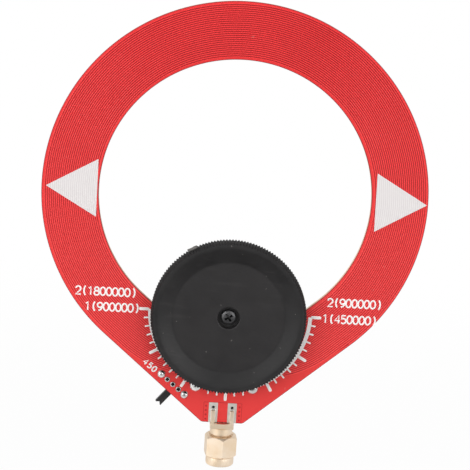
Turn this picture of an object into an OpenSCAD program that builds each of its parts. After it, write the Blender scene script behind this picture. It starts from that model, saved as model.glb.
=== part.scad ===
// Tunable loop antenna on a printed board: a winding etched on each face, a tuning capacitor
// turned by a large knob, a two-position band switch and a screw-on coaxial plug at the foot.
// The plug's axis is Z with its mouth at the origin, the loop stands above it, the knob faces -Y.

/* [Loop board] */
// Outside diameter of the loop
loop_d = 100; // [97:0.5:106]
// Diameter of the open middle of the loop
loop_hole_d = 70.5; // [66:0.5:71.5]
// Thickness of the board
board_t = 1.6; // [1.2:0.1:2.0]
// Drop from the loop's centre to the foot edge
foot_drop = 61; // [59:0.5:64]
// Width of the foot edge
foot_w = 11; // [10:0.5:14]
// Height of the tuning shaft above the foot edge
shaft_rise = 29.7; // [29:0.1:32]
// Radius of the tab that carries the tuning capacitor
tab_r = 16.5; // [15:0.5:18]

/* [Winding] */
// Turns on each face
turns = 24; // [12:1:24]
// Distance from one turn to the next
turn_pitch = 0.54; // [0.53:0.005:0.56]
// Width of the copper trace
trace_w = 0.12; // [0.08:0.01:0.125]
// Height of the trace with its coat of mask
trace_h = 0.1; // [0.05:0.01:0.15]
// Distance from the board's edge to the outermost turn
trace_inset = 0.75; // [0.4:0.05:1]
// Radius of the innermost turn where it bends below the shaft
bend_r = 16; // [14:0.5:18]

/* [Coaxial plug] */
// Length of the coupling nut
nut_len = 8.2; // [7.8:0.1:9]
// Width of the nut's hexagon across its flats
nut_af = 8; // [7.6:0.1:9]
// Length of the round collar at the nut's mouth
nut_collar_len = 2.8; // [2:0.1:3.4]
// Diameter of the round collar
nut_collar_d = 7.5; // [7:0.1:7.6]
// Diameter inside the nut's thread
thread_d = 5.74; // [5.7:0.01:5.9]
// Turn of the nut from a corner facing forward, in degrees
nut_turn = 7; // [0:1:60]
// Distance from the mouth to the plug's mating plane
mating_depth = 3.3; // [3:0.1:3.6]
// Radius of the centre pin
pin_r = 0.455; // [0.4:0.005:0.5]
// Length of the centre pin past the mating plane
pin_len = 2; // [1.6:0.1:2.3]
// Length of the neck between nut and flange
neck_len = 1.9; // [1.5:0.1:3]
// Radius of the neck
neck_r = 3; // [2.9:0.05:3.1]
// Width of the square flange
flange_w = 6.3; // [6.2:0.1:8]
// Thickness of the flange
flange_t = 1.4; // [1:0.1:2]
// Gap between the flange and the foot of the board
foot_gap = 0.4; // [0.2:0.05:0.8]
// Spacing of the plug's solder legs
leg_spacing = 5; // [4.6:0.1:5.2]
// Width of a solder leg
leg_w = 1; // [0.8:0.1:1.1]
// Length of a solder leg on the board
leg_len = 3.5; // [2.5:0.1:4]

/* [Tuning knob] */
// Diameter over the knob's ribs
knob_d = 40.4; // [39:0.2:42]
// Number of ribs round the rim
knob_ribs = 160; // [80:1:180]
// Depth of the ribs
rib_depth = 0.3; // [0.1:0.05:0.5]
// Height of the knob's rim above the board
knob_top = 5.3; // [5:0.1:6.5]
// Height of the knob's skirt above the board
knob_lift = 0.9; // [0.6:0.1:1.2]
// Radius of the flat middle of the knob's face
dish_r = 14.9; // [12:0.1:16]
// Depth of the flat middle below the rim
dish_depth = 0.6; // [0.2:0.05:0.8]
// Diameter of the counterbore over the knob's screw
counterbore_d = 5.8; // [5:0.1:7]

/* [Tuning capacitor] */
// Width of the square case
case_w = 20; // [19.6:0.1:22]
// Depth of the cover behind the base plate
cover_depth = 9.4; // [9.2:0.1:12]
// Wall of the cover
cover_wall = 0.8; // [0.5:0.05:0.9]
// Thickness of the base plate
base_t = 1.6; // [1.4:0.1:2.5]
// Diameter of the tuning shaft
shaft_d = 6; // [5:0.1:6.2]
// Radius of the rotor plates
rotor_r = 8.2; // [6:0.1:8.6]
// Number of rotor plates
rotor_count = 5; // [1:1:5]
// Thickness of a plate
plate_t = 0.3; // [0.2:0.02:0.34]
// Distance from one stator plate to the next
plate_pitch = 1.2; // [1.16:0.01:1.24]
// Distance of the fixing screws from the shaft
screw_x = 7; // [6.9:0.1:7.6]
// Drop from the shaft to the outer solder lugs
lug_drop = 20.2; // [19:0.1:21]
// Drop from the shaft to the middle solder lug
mid_lug_drop = 18.6; // [18.4:0.1:19.6]
// Distance of the trimmers from the shaft, sideways and up
trimmer_x = 5; // [4:0.1:6]

/* [Band switch] */
// Place of the switch along the board's lower left edge, from the corner of the foot
switch_along = 12.57; // [12.3:0.01:14]
// Distance of the switch's pin row from that edge
switch_inset = 2.34; // [2.25:0.01:2.6]
// Length of the switch
switch_l = 8.6; // [8.4:0.1:10]
// Width of the switch
switch_w = 4.4; // [4.2:0.1:4.5]
// Height of the switch behind the board
switch_h = 4.5; // [4.2:0.1:6]
// Pitch of the switch's pins
switch_pitch = 2; // [1.8:0.1:2.2]
// Travel of the lever
lever_travel = 2.8; // [1:0.1:3]
// Width of the lever's handle
lever_w = 1.8; // [1.2:0.1:2]
// Reach of the lever past its pin row
lever_reach = 7.4; // [5:0.1:8]

/* [Fits] */
// Radial clearance of a turning shaft
run_fit = 0.04; // [0.02:0.005:0.08]
// Clearance of pieces that are fixed together
seat_fit = 0.02; // [0.01:0.005:0.04]
// Clearance of sliding and screwed pieces
slide_fit = 0.15; // [0.1:0.01:0.2]

/* [Hidden] */
$fn = 96;
cut = 0.5;

// Colours
mask_red = [0.78, 0.1, 0.1];
copper_red = [0.86, 0.2, 0.18];
gold = [0.85, 0.68, 0.42];
tin = [0.78, 0.78, 0.8];
ink_black = [0.09, 0.09, 0.1];
milk_white = [0.92, 0.92, 0.9];
amber = [0.8, 0.6, 0.3];

// Thin layers
pad_t = 0.05;
solder_t = 0.1;

// Heights of the plug, up from its mouth
shoulder_z = mating_depth + 1.8;
groove_z = shoulder_z + 0.6;
groove_len = 0.6;
lip_z = groove_z + groove_len + 0.3;
neck_z = nut_len + 0.1;
flange_z = neck_z + neck_len;
flange_top = flange_z + flange_t;
foot_z = flange_top + foot_gap;
loop_z = foot_z + foot_drop;
shaft_z = foot_z + shaft_rise;
shaft_drop = foot_drop - shaft_rise;

// Radii of the plug
thread_r = thread_d / 2;
barrel_r = thread_r - 0.57;
shoulder_r = thread_r - 0.22;
dielectric_r = barrel_r - 0.24;
groove_r = shoulder_r - 0.4;
ring_cavity_r = thread_r + 0.23;
shank_r = pin_r + 0.18;
tail_r = pin_r - 0.075;
pin_tip = 0.2;

// Planes of the board, set so that the contact's tail lies on its pad at the back
board_back = -tail_r - pad_t;
board_front = board_back - board_t;

// The board's lower edges touch the loop at edge_angle below the horizontal
loop_r = loop_d / 2;
hole_r = loop_hole_d / 2;
corner_angle = atan2(foot_w / 2, foot_drop);
corner_reach = norm([foot_w / 2, foot_drop]);
edge_angle = 90 - corner_angle - acos(loop_r / corner_reach);
edge_slope = 90 - edge_angle;

// Winding
ring_sides = 4;
arc_rings = 17;
bend_rings = 3;
turn_rings = arc_rings + 2 * bend_rings;
ring_count = turns * turn_rings;
inset_max = trace_inset + turns * turn_pitch;
shaft_hole_r = shaft_d / 2 + 0.5;
trace_clear = 0.6;
bend_z = -shaft_drop - shaft_hole_r - trace_clear + bend_r;
bend_x = (loop_r - inset_max - bend_r + sin(edge_angle) * bend_z) / cos(edge_angle);

// Solder pads of the plug
pad_w = leg_w + 1.4;
pad_len = leg_len + 1.4;
pad_lift = 0.05;
pad_z = foot_z + pad_lift + pad_len / 2;
via_r = 0.35;
via_z = pad_z + pad_len / 2 - 0.9;
tail_len = leg_len + 0.4;

// Knob, heights measured forward from the board
knob_r = knob_d / 2;
knob_root_r = knob_r - rib_depth;
knob_core_r = knob_root_r - 0.1;
knob_chamfer = 0.6;
knob_wall = 1.9;
knob_face = knob_top - dish_depth;
knob_web = 1.7;
dish_rim = 0.8;
hub_lift = 0.4;
hub_r = 4.4;
shaft_end = 1.4;
shaft_flat = 0.73 * shaft_d;
socket_top = shaft_end + 0.05;
counterbore_floor = socket_top + 0.75;
knob_head_r = counterbore_d / 2 - 0.85;
knob_head_h = 1.3;
screw_r = 1.2;
screw_len = 5.2;
recess_l = 2.4;
recess_w = 0.55;
recess_depth = 0.7;

// Capacitor, depths measured back from the board
case_r = 1;
base_back = trace_h + base_t;
lug_t = 0.4;
lug_w = 2;
lug_pin_w = 1.2;
lug_back = base_back + lug_t;
cover_back = base_back + cover_depth;
cover_end_t = 1.4;
cover_inside = case_w / 2 - cover_wall;
plate_half = cover_inside - 0.5;
post_r = 0.8;
post_z = plate_half - post_r;
post_edge = 0.4;
lug_x = plate_half - post_r - post_edge;
notch_fit = 0.05;
stack_start = lug_back + 0.4;
rotor_start = stack_start + (plate_pitch - plate_t) / 2 + plate_t / 2;
film_t = 0.1;
film_gap = (plate_pitch / 2 - plate_t - film_t) / 2;
spindle_r = shaft_d / 3;
spindle_start = base_back - 0.1;
pivot_r = shaft_d / 6;
pivot_start = cover_back - cover_end_t - 0.1;
pivot_end = cover_back - 0.2;
hub_plate_r = spindle_r + 1.3;
stator_clear_r = hub_plate_r + 0.5;
stator_edge = 0.4;
contact_ring_w = 1.2;
lug_hole_r = 0.75;
lead_out = 0.6;
screw_head_r = 2.2;
screw_head_h = 1.2;
screw_depth = base_back - 0.2;
board_screw_r = screw_r + 0.2;
trimmer_head_r = 1.5;
trimmer_head_h = 0.6;
trimmer_shank_r = 0.8;
trimmer_sink = 0.7;
trimmer_slot_w = 0.4;
trimmer_slot_depth = 0.3;

// Switch, heights measured back from the board
frame_wall = 0.3;
frame_lift = trace_h + 0.05;
switch_base_top = 1.3;
terminal_w = 0.5;
terminal_t = 0.3;
terminal_head = 0.1;
contact_l = 1.2;
contact_w = 1.6;
tab_w = 1;
tab_x = switch_l / 2 - frame_wall / 2;
wiper_t = 0.25;
wiper_l = 3.2;
wiper_w = 1.2;
wiper_bottom = switch_base_top + terminal_head + 0.1;
lever_bottom = wiper_bottom + wiper_t;
lever_top = switch_h - frame_wall - slide_fit;
lever_block_l = 4.2;
lever_block_w = switch_w - 2 * frame_wall - 2 * slide_fit;
handle_inset = 0.4;
notch_depth = 0.6;
lever_rest = lever_travel / 2;
pin_hole_r = 0.45;
tab_hole_r = 0.65;

// Solder joints: radius on the board, height up the pin, and the lip left round the pin
lug_joint_r = 1.6;
lug_joint_h = 0.8;
mid_joint_r = 1.25;
mid_joint_h = 0.6;
pin_joint_r = 0.7;
pin_joint_h = 0.45;
tab_joint_r = 0.95;
tab_joint_h = 0.6;
joint_lip = 0.15;

// Point i of the winding: its angle, and the centre and radius of the arc that it lies on
function turn_inset(i) = trace_inset + turn_pitch * i / turn_rings;
function ring_step(i) = i % turn_rings;
function loop_angle(k) = -edge_angle + k * (180 + 2 * edge_angle) / (arc_rings - 1);
function left_angle(k) = 180 + edge_angle + k * edge_slope / (bend_rings - 1);
function right_angle(k) = 270 + k * edge_slope / (bend_rings - 1);
function ring_angle(k) =
    k < arc_rings ? loop_angle(k)
    : k < arc_rings + bend_rings ? left_angle(k - arc_rings)
    : right_angle(k - arc_rings - bend_rings);
function ring_centre(k) =
    k < arc_rings ? [0, 0]
    : k < arc_rings + bend_rings ? [-bend_x, bend_z]
    : [bend_x, bend_z];
function ring_radius(k, inset) = k < arc_rings ? loop_r - inset : bend_r + inset_max - inset;
function outward(a) = [cos(a), sin(a)];
function trace_point(i) =
    ring_centre(ring_step(i)) + ring_radius(ring_step(i), turn_inset(i)) * outward(ring_angle(ring_step(i)));
function trace_ring(i) =
    let (p = trace_point(i), n = outward(ring_angle(ring_step(i))) * trace_w / 2)
    [
        [p.x + n.x, 0, p.y + n.y],
        [p.x + n.x, -trace_h, p.y + n.y],
        [p.x - n.x, -trace_h, p.y - n.y],
        [p.x - n.x, 0, p.y - n.y]
    ];
function side_faces(i, s) =
    let (a = i * ring_sides + s, b = i * ring_sides + (s + 1) % ring_sides)
    [[a, b, b + ring_sides], [a, b + ring_sides, a + ring_sides]];

// Least distance between a point and a stretch of trace, less the trace's width
function stretch_gap(p, a, b) =
    let (ab = b - a, t = max(0, min(1, ((p - a) * ab) / (ab * ab))))
    norm(p - a - t * ab) - trace_w;
trace_points = [for (i = [0 : ring_count]) trace_point(i)];
trace_gaps = [
    for (i = [0 : ring_count - turn_rings - 1], j = [turn_rings - 1 : turn_rings])
        if (i + j + 1 <= ring_count)
            stretch_gap(trace_points[i], trace_points[i + j], trace_points[i + j + 1])
];
echo(least_gap_between_turns = min(trace_gaps));

// Frames of the sub-assemblies: their local Z points away from the board
module on_front(x, z) {
    translate([x, board_front, z]) rotate([90, 0, 0]) children();
}

module on_back(x, z) {
    translate([x, board_back, z]) rotate([90, 0, 0]) mirror([0, 0, 1]) children();
}

module at_switch() {
    corner = [-foot_w / 2, -foot_drop];
    along = [-sin(edge_angle), cos(edge_angle)] * switch_along;
    inward = [cos(edge_angle), sin(edge_angle)] * switch_inset;
    place = corner + along + inward;
    translate([place.x, board_back, loop_z + place.y])
        rotate([0, edge_slope, 0])
            rotate([-90, 0, 0])
                children();
}

// Shared shapes
module block(size, z) {
    translate([-size.x / 2, -size.y / 2, z]) cube(size);
}

module rounded_square(w, r) {
    square([w, w - 2 * r], center = true);
    square([w - 2 * r, w], center = true);
    for (x = [-1, 1], y = [-1, 1])
        translate([x, y] * (w / 2 - r)) circle(r);
}

module tube(r_out, r_in, h, z) {
    translate([0, 0, z])
        difference() {
            cylinder(r = r_out, h = h);
            translate([0, 0, -cut]) cylinder(r = r_in, h = h + 2 * cut);
        }
}

module cross_recess(top) {
    for (a = [0, 90])
        rotate([0, 0, a]) block([recess_l, recess_w, recess_depth + cut], top - recess_depth);
}

module fillet_ring(r_in, r_out, h) {
    rotate_extrude()
        polygon([[r_in, 0], [r_out, 0], [r_in + joint_lip, h], [r_in, h]]);
}

// Outlines of the board, in the plane of its face with the loop's centre at the origin
module foot_outline() {
    touch = loop_r * outward(-edge_angle);
    polygon([touch, [foot_w / 2, -foot_drop], [-foot_w / 2, -foot_drop], [-touch.x, touch.y]]);
}

module opening_foot() {
    touch = hole_r * outward(-edge_angle);
    polygon([[0, 0], touch, [0, -hole_r / sin(edge_angle)], [-touch.x, touch.y]]);
}

module sheet(proud) {
    translate([0, board_back + proud, loop_z])
        rotate([90, 0, 0])
            linear_extrude(board_t + 2 * proud)
                children();
}

module loop_opening() {
    difference() {
        union() {
            sheet(cut) circle(hole_r);
            sheet(cut) opening_foot();
        }
        sheet(2 * cut) translate([0, -shaft_drop]) circle(tab_r);
    }
}

module drill(x, z, r) {
    on_front(x, z)
        translate([0, 0, -board_t - cut]) cylinder(r = r, h = board_t + 2 * cut);
}

// Board and its copper
module circuit_board() {
    color(mask_red)
        difference() {
            union() {
                sheet(0) circle(loop_r);
                sheet(0) foot_outline();
            }
            loop_opening();
            drill(0, shaft_z, shaft_hole_r);
            for (s = [-1, 1]) {
                drill(s * screw_x, shaft_z, board_screw_r);
                drill(s * lug_x, shaft_z - lug_drop, lug_hole_r);
                drill(s * leg_spacing / 2, via_z, via_r);
            }
            drill(0, shaft_z - mid_lug_drop, lug_hole_r);
            at_switch() {
                for (i = [-1 : 1])
                    translate([i * switch_pitch, 0, -board_t - cut])
                        cylinder(r = pin_hole_r, h = board_t + 2 * cut);
                for (s = [-1, 1])
                    translate([s * tab_x, 0, -board_t - cut])
                        cylinder(r = tab_hole_r, h = board_t + 2 * cut);
            }
        }
}

module winding() {
    points = [for (i = [0 : ring_count]) each trace_ring(i)];
    last = ring_count * ring_sides;
    start = [for (s = [1 : ring_sides - 2]) [0, s + 1, s]];
    finish = [for (s = [1 : ring_sides - 2]) [last, last + s, last + s + 1]];
    sides = [for (i = [0 : ring_count - 1], s = [0 : ring_sides - 1]) each side_faces(i, s)];
    polyhedron(points, concat(start, sides, finish));
}

module front_winding() {
    color(copper_red)
        translate([0, board_front, loop_z]) winding();
}

module back_winding() {
    color(copper_red)
        translate([0, board_back, loop_z]) mirror([0, 1, 0]) winding();
}

module leg_pad() {
    difference() {
        block([pad_w, pad_len, pad_t], 0);
        translate([0, via_z - pad_z, -cut]) cylinder(r = via_r, h = pad_t + 2 * cut);
    }
}

module connector_pads() {
    color(tin) {
        for (s = [-1, 1]) {
            on_front(s * leg_spacing / 2, pad_z) leg_pad();
            on_back(s * leg_spacing / 2, pad_z) leg_pad();
        }
        on_back(0, pad_z) block([2 * tail_r + 0.6, pad_len, pad_t], 0);
    }
}

// Coaxial plug
module connector_body() {
    profile = [
        [dielectric_r, mating_depth], [barrel_r, mating_depth], [barrel_r, shoulder_z],
        [shoulder_r, shoulder_z], [shoulder_r, groove_z], [groove_r, groove_z],
        [groove_r, groove_z + groove_len], [shoulder_r, groove_z + groove_len], [shoulder_r, neck_z],
        [neck_r, neck_z], [neck_r, flange_z + 0.2], [dielectric_r, flange_z + 0.2]
    ];
    color(gold) {
        rotate_extrude() polygon(profile);
        difference() {
            block([flange_w, flange_w, flange_t], flange_z);
            translate([0, 0, flange_z - cut]) cylinder(r = dielectric_r, h = flange_t + 2 * cut);
        }
        solder_legs();
    }
}

module solder_legs() {
    leg_gap = pad_t + solder_t;
    front_t = board_front - leg_gap + flange_w / 2;
    for (s = [-1, 1]) {
        translate([s * leg_spacing / 2 - leg_w / 2, -flange_w / 2, flange_z])
            cube([leg_w, front_t, flange_t + foot_gap + leg_len]);
        translate([s * leg_spacing / 2 - leg_w / 2, board_back + leg_gap, flange_z])
            cube([leg_w, front_t, flange_t + foot_gap + leg_len]);
    }
}

module connector_dielectric() {
    color(milk_white)
        tube(dielectric_r - seat_fit, shank_r + seat_fit, flange_top - mating_depth, mating_depth);
}

module centre_contact() {
    profile = [
        [0, mating_depth - pin_len], [pin_r - pin_tip, mating_depth - pin_len],
        [pin_r, mating_depth - pin_len + pin_tip], [pin_r, mating_depth], [shank_r, mating_depth],
        [shank_r, flange_top], [tail_r, flange_top], [tail_r, foot_z + tail_len], [0, foot_z + tail_len]
    ];
    color(gold)
        rotate_extrude() polygon(profile);
}

module connector_solder() {
    slab_len = leg_len;
    slab = [leg_w + 0.7, slab_len, solder_t];
    color(tin)
        for (s = [-1, 1]) {
            on_front(s * leg_spacing / 2, foot_z + pad_lift + slab_len / 2) block(slab, pad_t);
            on_back(s * leg_spacing / 2, foot_z + pad_lift + slab_len / 2) block(slab, pad_t);
        }
}

module coupling_nut() {
    hex_r = nut_af / 2 / cos(30);
    bevel = hex_r - nut_af / 2;
    outside = [
        [0, nut_collar_len], [nut_af / 2, nut_collar_len], [hex_r, nut_collar_len + bevel],
        [hex_r, nut_len - bevel], [nut_af / 2, nut_len], [0, nut_len]
    ];
    collar = [
        [0, 0], [nut_collar_d / 2 - 0.3, 0], [nut_collar_d / 2, 0.3],
        [nut_collar_d / 2, nut_collar_len + 0.2], [0, nut_collar_len + 0.2]
    ];
    inside = [
        [0, -cut], [thread_r + 0.3 + cut, -cut], [thread_r + 0.3, 0], [thread_r, 0.3],
        [thread_r, shoulder_z + 0.1], [ring_cavity_r, shoulder_z + 0.1], [ring_cavity_r, lip_z],
        [shoulder_r + run_fit, lip_z], [shoulder_r + run_fit, nut_len + cut], [0, nut_len + cut]
    ];
    color(gold)
        difference() {
            union() {
                intersection() {
                    rotate([0, 0, nut_turn - 90])
                        translate([0, 0, nut_collar_len])
                            cylinder(r = hex_r, h = nut_len - nut_collar_len, $fn = 6);
                    rotate_extrude() polygon(outside);
                }
                rotate_extrude() polygon(collar);
            }
            rotate_extrude() polygon(inside);
        }
}

module nut_snap_ring() {
    ring_in = groove_r + seat_fit;
    ring_out = ring_cavity_r - slide_fit / 2;
    ring_t = groove_len - 0.2;
    color(gold)
        translate([0, 0, groove_z + 0.1])
            rotate_extrude(angle = 320)
                translate([ring_in, 0]) square([ring_out - ring_in, ring_t]);
}

module nut_gasket() {
    gasket_t = 0.5;
    color([0.75, 0.25, 0.2])
        tube(thread_r - slide_fit, barrel_r + seat_fit, gasket_t, shoulder_z - gasket_t);
}

// Tuning capacitor
module capacitor_base() {
    color(milk_white)
        on_back(0, shaft_z)
            translate([0, 0, trace_h])
                difference() {
                    linear_extrude(base_t) rounded_square(case_w, case_r);
                    translate([0, 0, -cut]) cylinder(r = shaft_d / 2 + run_fit, h = base_t + 2 * cut);
                    for (s = [-1, 1])
                        translate([s * screw_x, 0, -cut])
                            cylinder(r = screw_r + seat_fit, h = base_t + 2 * cut);
                }
}

module capacitor_cover() {
    inside_depth = cover_depth - cover_end_t;
    notch = [lug_w + 2 * notch_fit, 2 * cover_wall + 2 * cut, lug_t + notch_fit + cut];
    color(milk_white)
        on_back(0, shaft_z)
            difference() {
                translate([0, 0, base_back]) linear_extrude(cover_depth) rounded_square(case_w, case_r);
                translate([0, 0, base_back - cut])
                    linear_extrude(inside_depth + cut) square(2 * cover_inside, center = true);
                for (x = [-lug_x, 0, lug_x])
                    translate([x, -case_w / 2, 0]) block(notch, base_back - cut);
                cylinder(r = pivot_r + run_fit, h = cover_back + cut);
                for (s = [-1, 1])
                    translate([s * trimmer_x, trimmer_x, 0]) {
                        cylinder(r = trimmer_shank_r + run_fit, h = cover_back + cut);
                        translate([0, 0, cover_back - trimmer_sink])
                            cylinder(r = trimmer_head_r + slide_fit, h = trimmer_sink + cut);
                    }
            }
}

module stator_posts() {
    post_len = cover_back - cover_end_t - base_back;
    color(gold)
        on_back(0, shaft_z)
            for (s = [-1, 1])
                translate([s * lug_x, -post_z, base_back]) cylinder(r = post_r, h = post_len);
}

module post_holes() {
    for (s = [-1, 1])
        translate([s * lug_x, -post_z]) circle(post_r + seat_fit);
}

module stator_plates() {
    plate_w = 2 * plate_half;
    color(tin)
        on_back(0, shaft_z)
            for (i = [0 : rotor_count])
                translate([0, 0, stack_start + i * plate_pitch])
                    linear_extrude(plate_t)
                        difference() {
                            translate([-plate_half, -plate_half]) square([plate_w, plate_half - stator_edge]);
                            circle(stator_clear_r);
                            post_holes();
                        }
}

module insulating_films() {
    color([0.85, 0.9, 0.92, 0.5])
        on_back(0, shaft_z)
            for (i = [0 : rotor_count - 1], side = [0, 1])
                translate([0, 0, stack_start + i * plate_pitch + plate_t + film_gap + side * plate_pitch / 2])
                    linear_extrude(film_t)
                        difference() {
                            square(2 * plate_half, center = true);
                            circle(stator_clear_r);
                            post_holes();
                        }
}

module rotor_plates() {
    color(tin)
        on_back(0, shaft_z)
            for (i = [0 : rotor_count - 1])
                translate([0, 0, rotor_start + i * plate_pitch])
                    linear_extrude(plate_t)
                        difference() {
                            union() {
                                circle(hub_plate_r);
                                intersection() {
                                    circle(rotor_r);
                                    translate([-2 * rotor_r, -rotor_r]) square(2 * rotor_r);
                                }
                            }
                            circle(spindle_r + seat_fit);
                        }
}

module tuning_shaft() {
    color(gold)
        on_back(0, shaft_z)
            difference() {
                union() {
                    intersection() {
                        translate([0, 0, -board_t - shaft_end])
                            cylinder(r = shaft_d / 2, h = shaft_end + 1);
                        block([shaft_flat, shaft_d, shaft_end + 1], -board_t - shaft_end);
                    }
                    translate([0, 0, -board_t]) cylinder(r = shaft_d / 2, h = board_t + spindle_start);
                    translate([0, 0, 0]) cylinder(r = spindle_r, h = pivot_start);
                    translate([0, 0, 0]) cylinder(r = pivot_r, h = pivot_end);
                }
                translate([0, 0, -board_t - shaft_end - cut])
                    cylinder(r = screw_r + seat_fit, h = screw_len + cut);
            }
}

module lug(x, inner, drop) {
    translate([x, 0, 0]) {
        translate([-lug_w / 2, -drop - lug_t / 2, base_back]) cube([lug_w, drop - inner + lug_t / 2, lug_t]);
        translate([-lug_pin_w / 2, -drop - lug_t / 2, -board_t - lead_out])
            cube([lug_pin_w, lug_t, board_t + lead_out + base_back + lug_t]);
    }
}

module capacitor_lugs() {
    ring_in = spindle_r + run_fit;
    color(gold)
        on_back(0, shaft_z) {
            for (s = [-1, 1])
                difference() {
                    lug(s * lug_x, post_z - post_r - 0.6, lug_drop);
                    translate([s * lug_x, -post_z, 0]) cylinder(r = post_r + seat_fit, h = lug_back + cut);
                }
            difference() {
                union() {
                    lug(0, spindle_r + contact_ring_w / 2, mid_lug_drop);
                    translate([0, 0, base_back]) cylinder(r = ring_in + contact_ring_w, h = lug_t);
                }
                cylinder(r = ring_in, h = lug_back + cut);
            }
        }
}

module lug_solder() {
    pin_half = norm([lug_pin_w, lug_t]) / 2 + seat_fit;
    color(tin) {
        for (s = [-1, 1])
            on_front(s * lug_x, shaft_z - lug_drop) fillet_ring(pin_half, lug_joint_r, lug_joint_h);
        on_front(0, shaft_z - mid_lug_drop) fillet_ring(pin_half, mid_joint_r, mid_joint_h);
    }
}

module capacitor_screws() {
    color(tin)
        for (s = [-1, 1])
            on_front(s * screw_x, shaft_z)
                difference() {
                    union() {
                        cylinder(r = screw_head_r, h = screw_head_h);
                        translate([0, 0, -board_t - screw_depth])
                            cylinder(r = screw_r, h = board_t + screw_depth + 0.1);
                    }
                    cross_recess(screw_head_h);
                }
}

module trimmer(side) {
    head_start = cover_back - trimmer_sink + 0.05;
    shank_start = cover_back - cover_end_t - 0.2;
    slot = [2 * trimmer_head_r + 2 * cut, trimmer_slot_w, trimmer_slot_depth + cut];
    color(gold)
        on_back(0, shaft_z)
            translate([side * trimmer_x, trimmer_x, 0])
                difference() {
                    union() {
                        translate([0, 0, head_start]) cylinder(r = trimmer_head_r, h = trimmer_head_h);
                        translate([0, 0, shank_start])
                            cylinder(r = trimmer_shank_r, h = head_start - shank_start + 0.1);
                    }
                    block(slot, head_start + trimmer_head_h - trimmer_slot_depth);
                }
}

module trimmer_left() {
    trimmer(-1);
}

module trimmer_right() {
    trimmer(1);
}

// Knob
module ribbed_outline() {
    polygon([
        for (i = [0 : 2 * knob_ribs - 1])
            (i % 2 == 0 ? knob_r : knob_root_r) * outward(i * 180 / knob_ribs)
    ]);
}

module tuning_knob() {
    recess_top = knob_face - knob_web;
    recess_r = knob_root_r - knob_wall;
    slope_r = knob_core_r - knob_chamfer / 2 - dish_rim;
    socket = [shaft_flat + 2 * run_fit, 2 * shaft_d, socket_top - hub_lift + cut];
    profile = [
        [0, knob_lift], [knob_core_r, knob_lift], [knob_core_r, knob_top - knob_chamfer / 2],
        [knob_core_r - knob_chamfer / 2, knob_top], [slope_r, knob_top], [dish_r, knob_face], [0, knob_face]
    ];
    color(ink_black)
        on_front(0, shaft_z)
            difference() {
                union() {
                    difference() {
                        union() {
                            rotate_extrude() polygon(profile);
                            translate([0, 0, knob_lift])
                                linear_extrude(knob_top - knob_chamfer - knob_lift) ribbed_outline();
                        }
                        translate([0, 0, knob_lift - cut])
                            cylinder(r = recess_r, h = recess_top - knob_lift + cut);
                    }
                    translate([0, 0, hub_lift]) cylinder(r = hub_r, h = recess_top - hub_lift + 0.1);
                }
                intersection() {
                    translate([0, 0, hub_lift - cut])
                        cylinder(r = shaft_d / 2 + run_fit, h = socket.z);
                    block(socket, hub_lift - cut);
                }
                cylinder(r = screw_r + slide_fit, h = knob_top);
                translate([0, 0, counterbore_floor]) cylinder(d = counterbore_d, h = knob_top);
            }
}

module knob_screw() {
    head_top = counterbore_floor + knob_head_h;
    profile = [
        [0, head_top - screw_len - knob_head_h + 0.3], [screw_r, head_top - screw_len - knob_head_h + 0.3],
        [screw_r, counterbore_floor], [knob_head_r, counterbore_floor], [knob_head_r, head_top - 0.5],
        [knob_head_r - 0.5, head_top], [0, head_top]
    ];
    color(ink_black)
        on_front(0, shaft_z)
            rotate([0, 0, 32])
                difference() {
                    rotate_extrude() polygon(profile);
                    cross_recess(head_top);
                }
}

// Band switch
module switch_frame() {
    slot = [lever_w + lever_travel + 2 * slide_fit, 2 * frame_wall + 2 * cut, lever_top - lever_bottom];
    inner = [switch_l - 2 * frame_wall, switch_w - 2 * frame_wall, switch_h - frame_wall - frame_lift + cut];
    color(tin)
        at_switch() {
            difference() {
                block([switch_l, switch_w, switch_h - frame_lift], frame_lift);
                block(inner, frame_lift - cut);
                translate([0, switch_w / 2, 0]) block(slot, lever_bottom);
            }
            for (s = [-1, 1])
                translate([s * tab_x, 0, 0])
                    block([frame_wall, tab_w, board_t + lead_out + frame_lift + 0.3], -board_t - lead_out);
        }
}

module switch_base() {
    base = [
        switch_l - 2 * frame_wall - 2 * seat_fit, switch_w - 2 * frame_wall - 2 * seat_fit,
        switch_base_top - frame_lift
    ];
    color(amber)
        at_switch()
            difference() {
                block(base, frame_lift);
                for (i = [-1 : 1])
                    translate([i * switch_pitch, 0, 0])
                        block([terminal_w + 2 * seat_fit, terminal_t + 2 * seat_fit, switch_h], 0);
            }
}

module switch_terminals() {
    blade = [terminal_w, terminal_t, board_t + lead_out + switch_base_top + 0.05];
    color(tin)
        at_switch()
            for (i = [-1 : 1])
                translate([i * switch_pitch, 0, 0]) {
                    block(blade, -board_t - lead_out);
                    block([contact_l, contact_w, terminal_head], switch_base_top);
                }
}

module switch_lever() {
    block_size = [lever_block_l, lever_block_w, lever_top - lever_bottom];
    handle_h = block_size.z - 2 * handle_inset;
    handle = [
        [-lever_w / 2, 0], [lever_w / 2, 0], [lever_w / 2, lever_reach],
        [0, lever_reach - notch_depth], [-lever_w / 2, lever_reach]
    ];
    color(ink_black)
        at_switch()
            translate([lever_rest, 0, 0]) {
                block(block_size, lever_bottom);
                translate([0, 0, lever_bottom + handle_inset]) linear_extrude(handle_h) polygon(handle);
            }
}

module switch_wiper() {
    color(gold)
        at_switch()
            translate([lever_rest, 0, 0])
                block([wiper_l, wiper_w, wiper_t], wiper_bottom);
}

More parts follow.
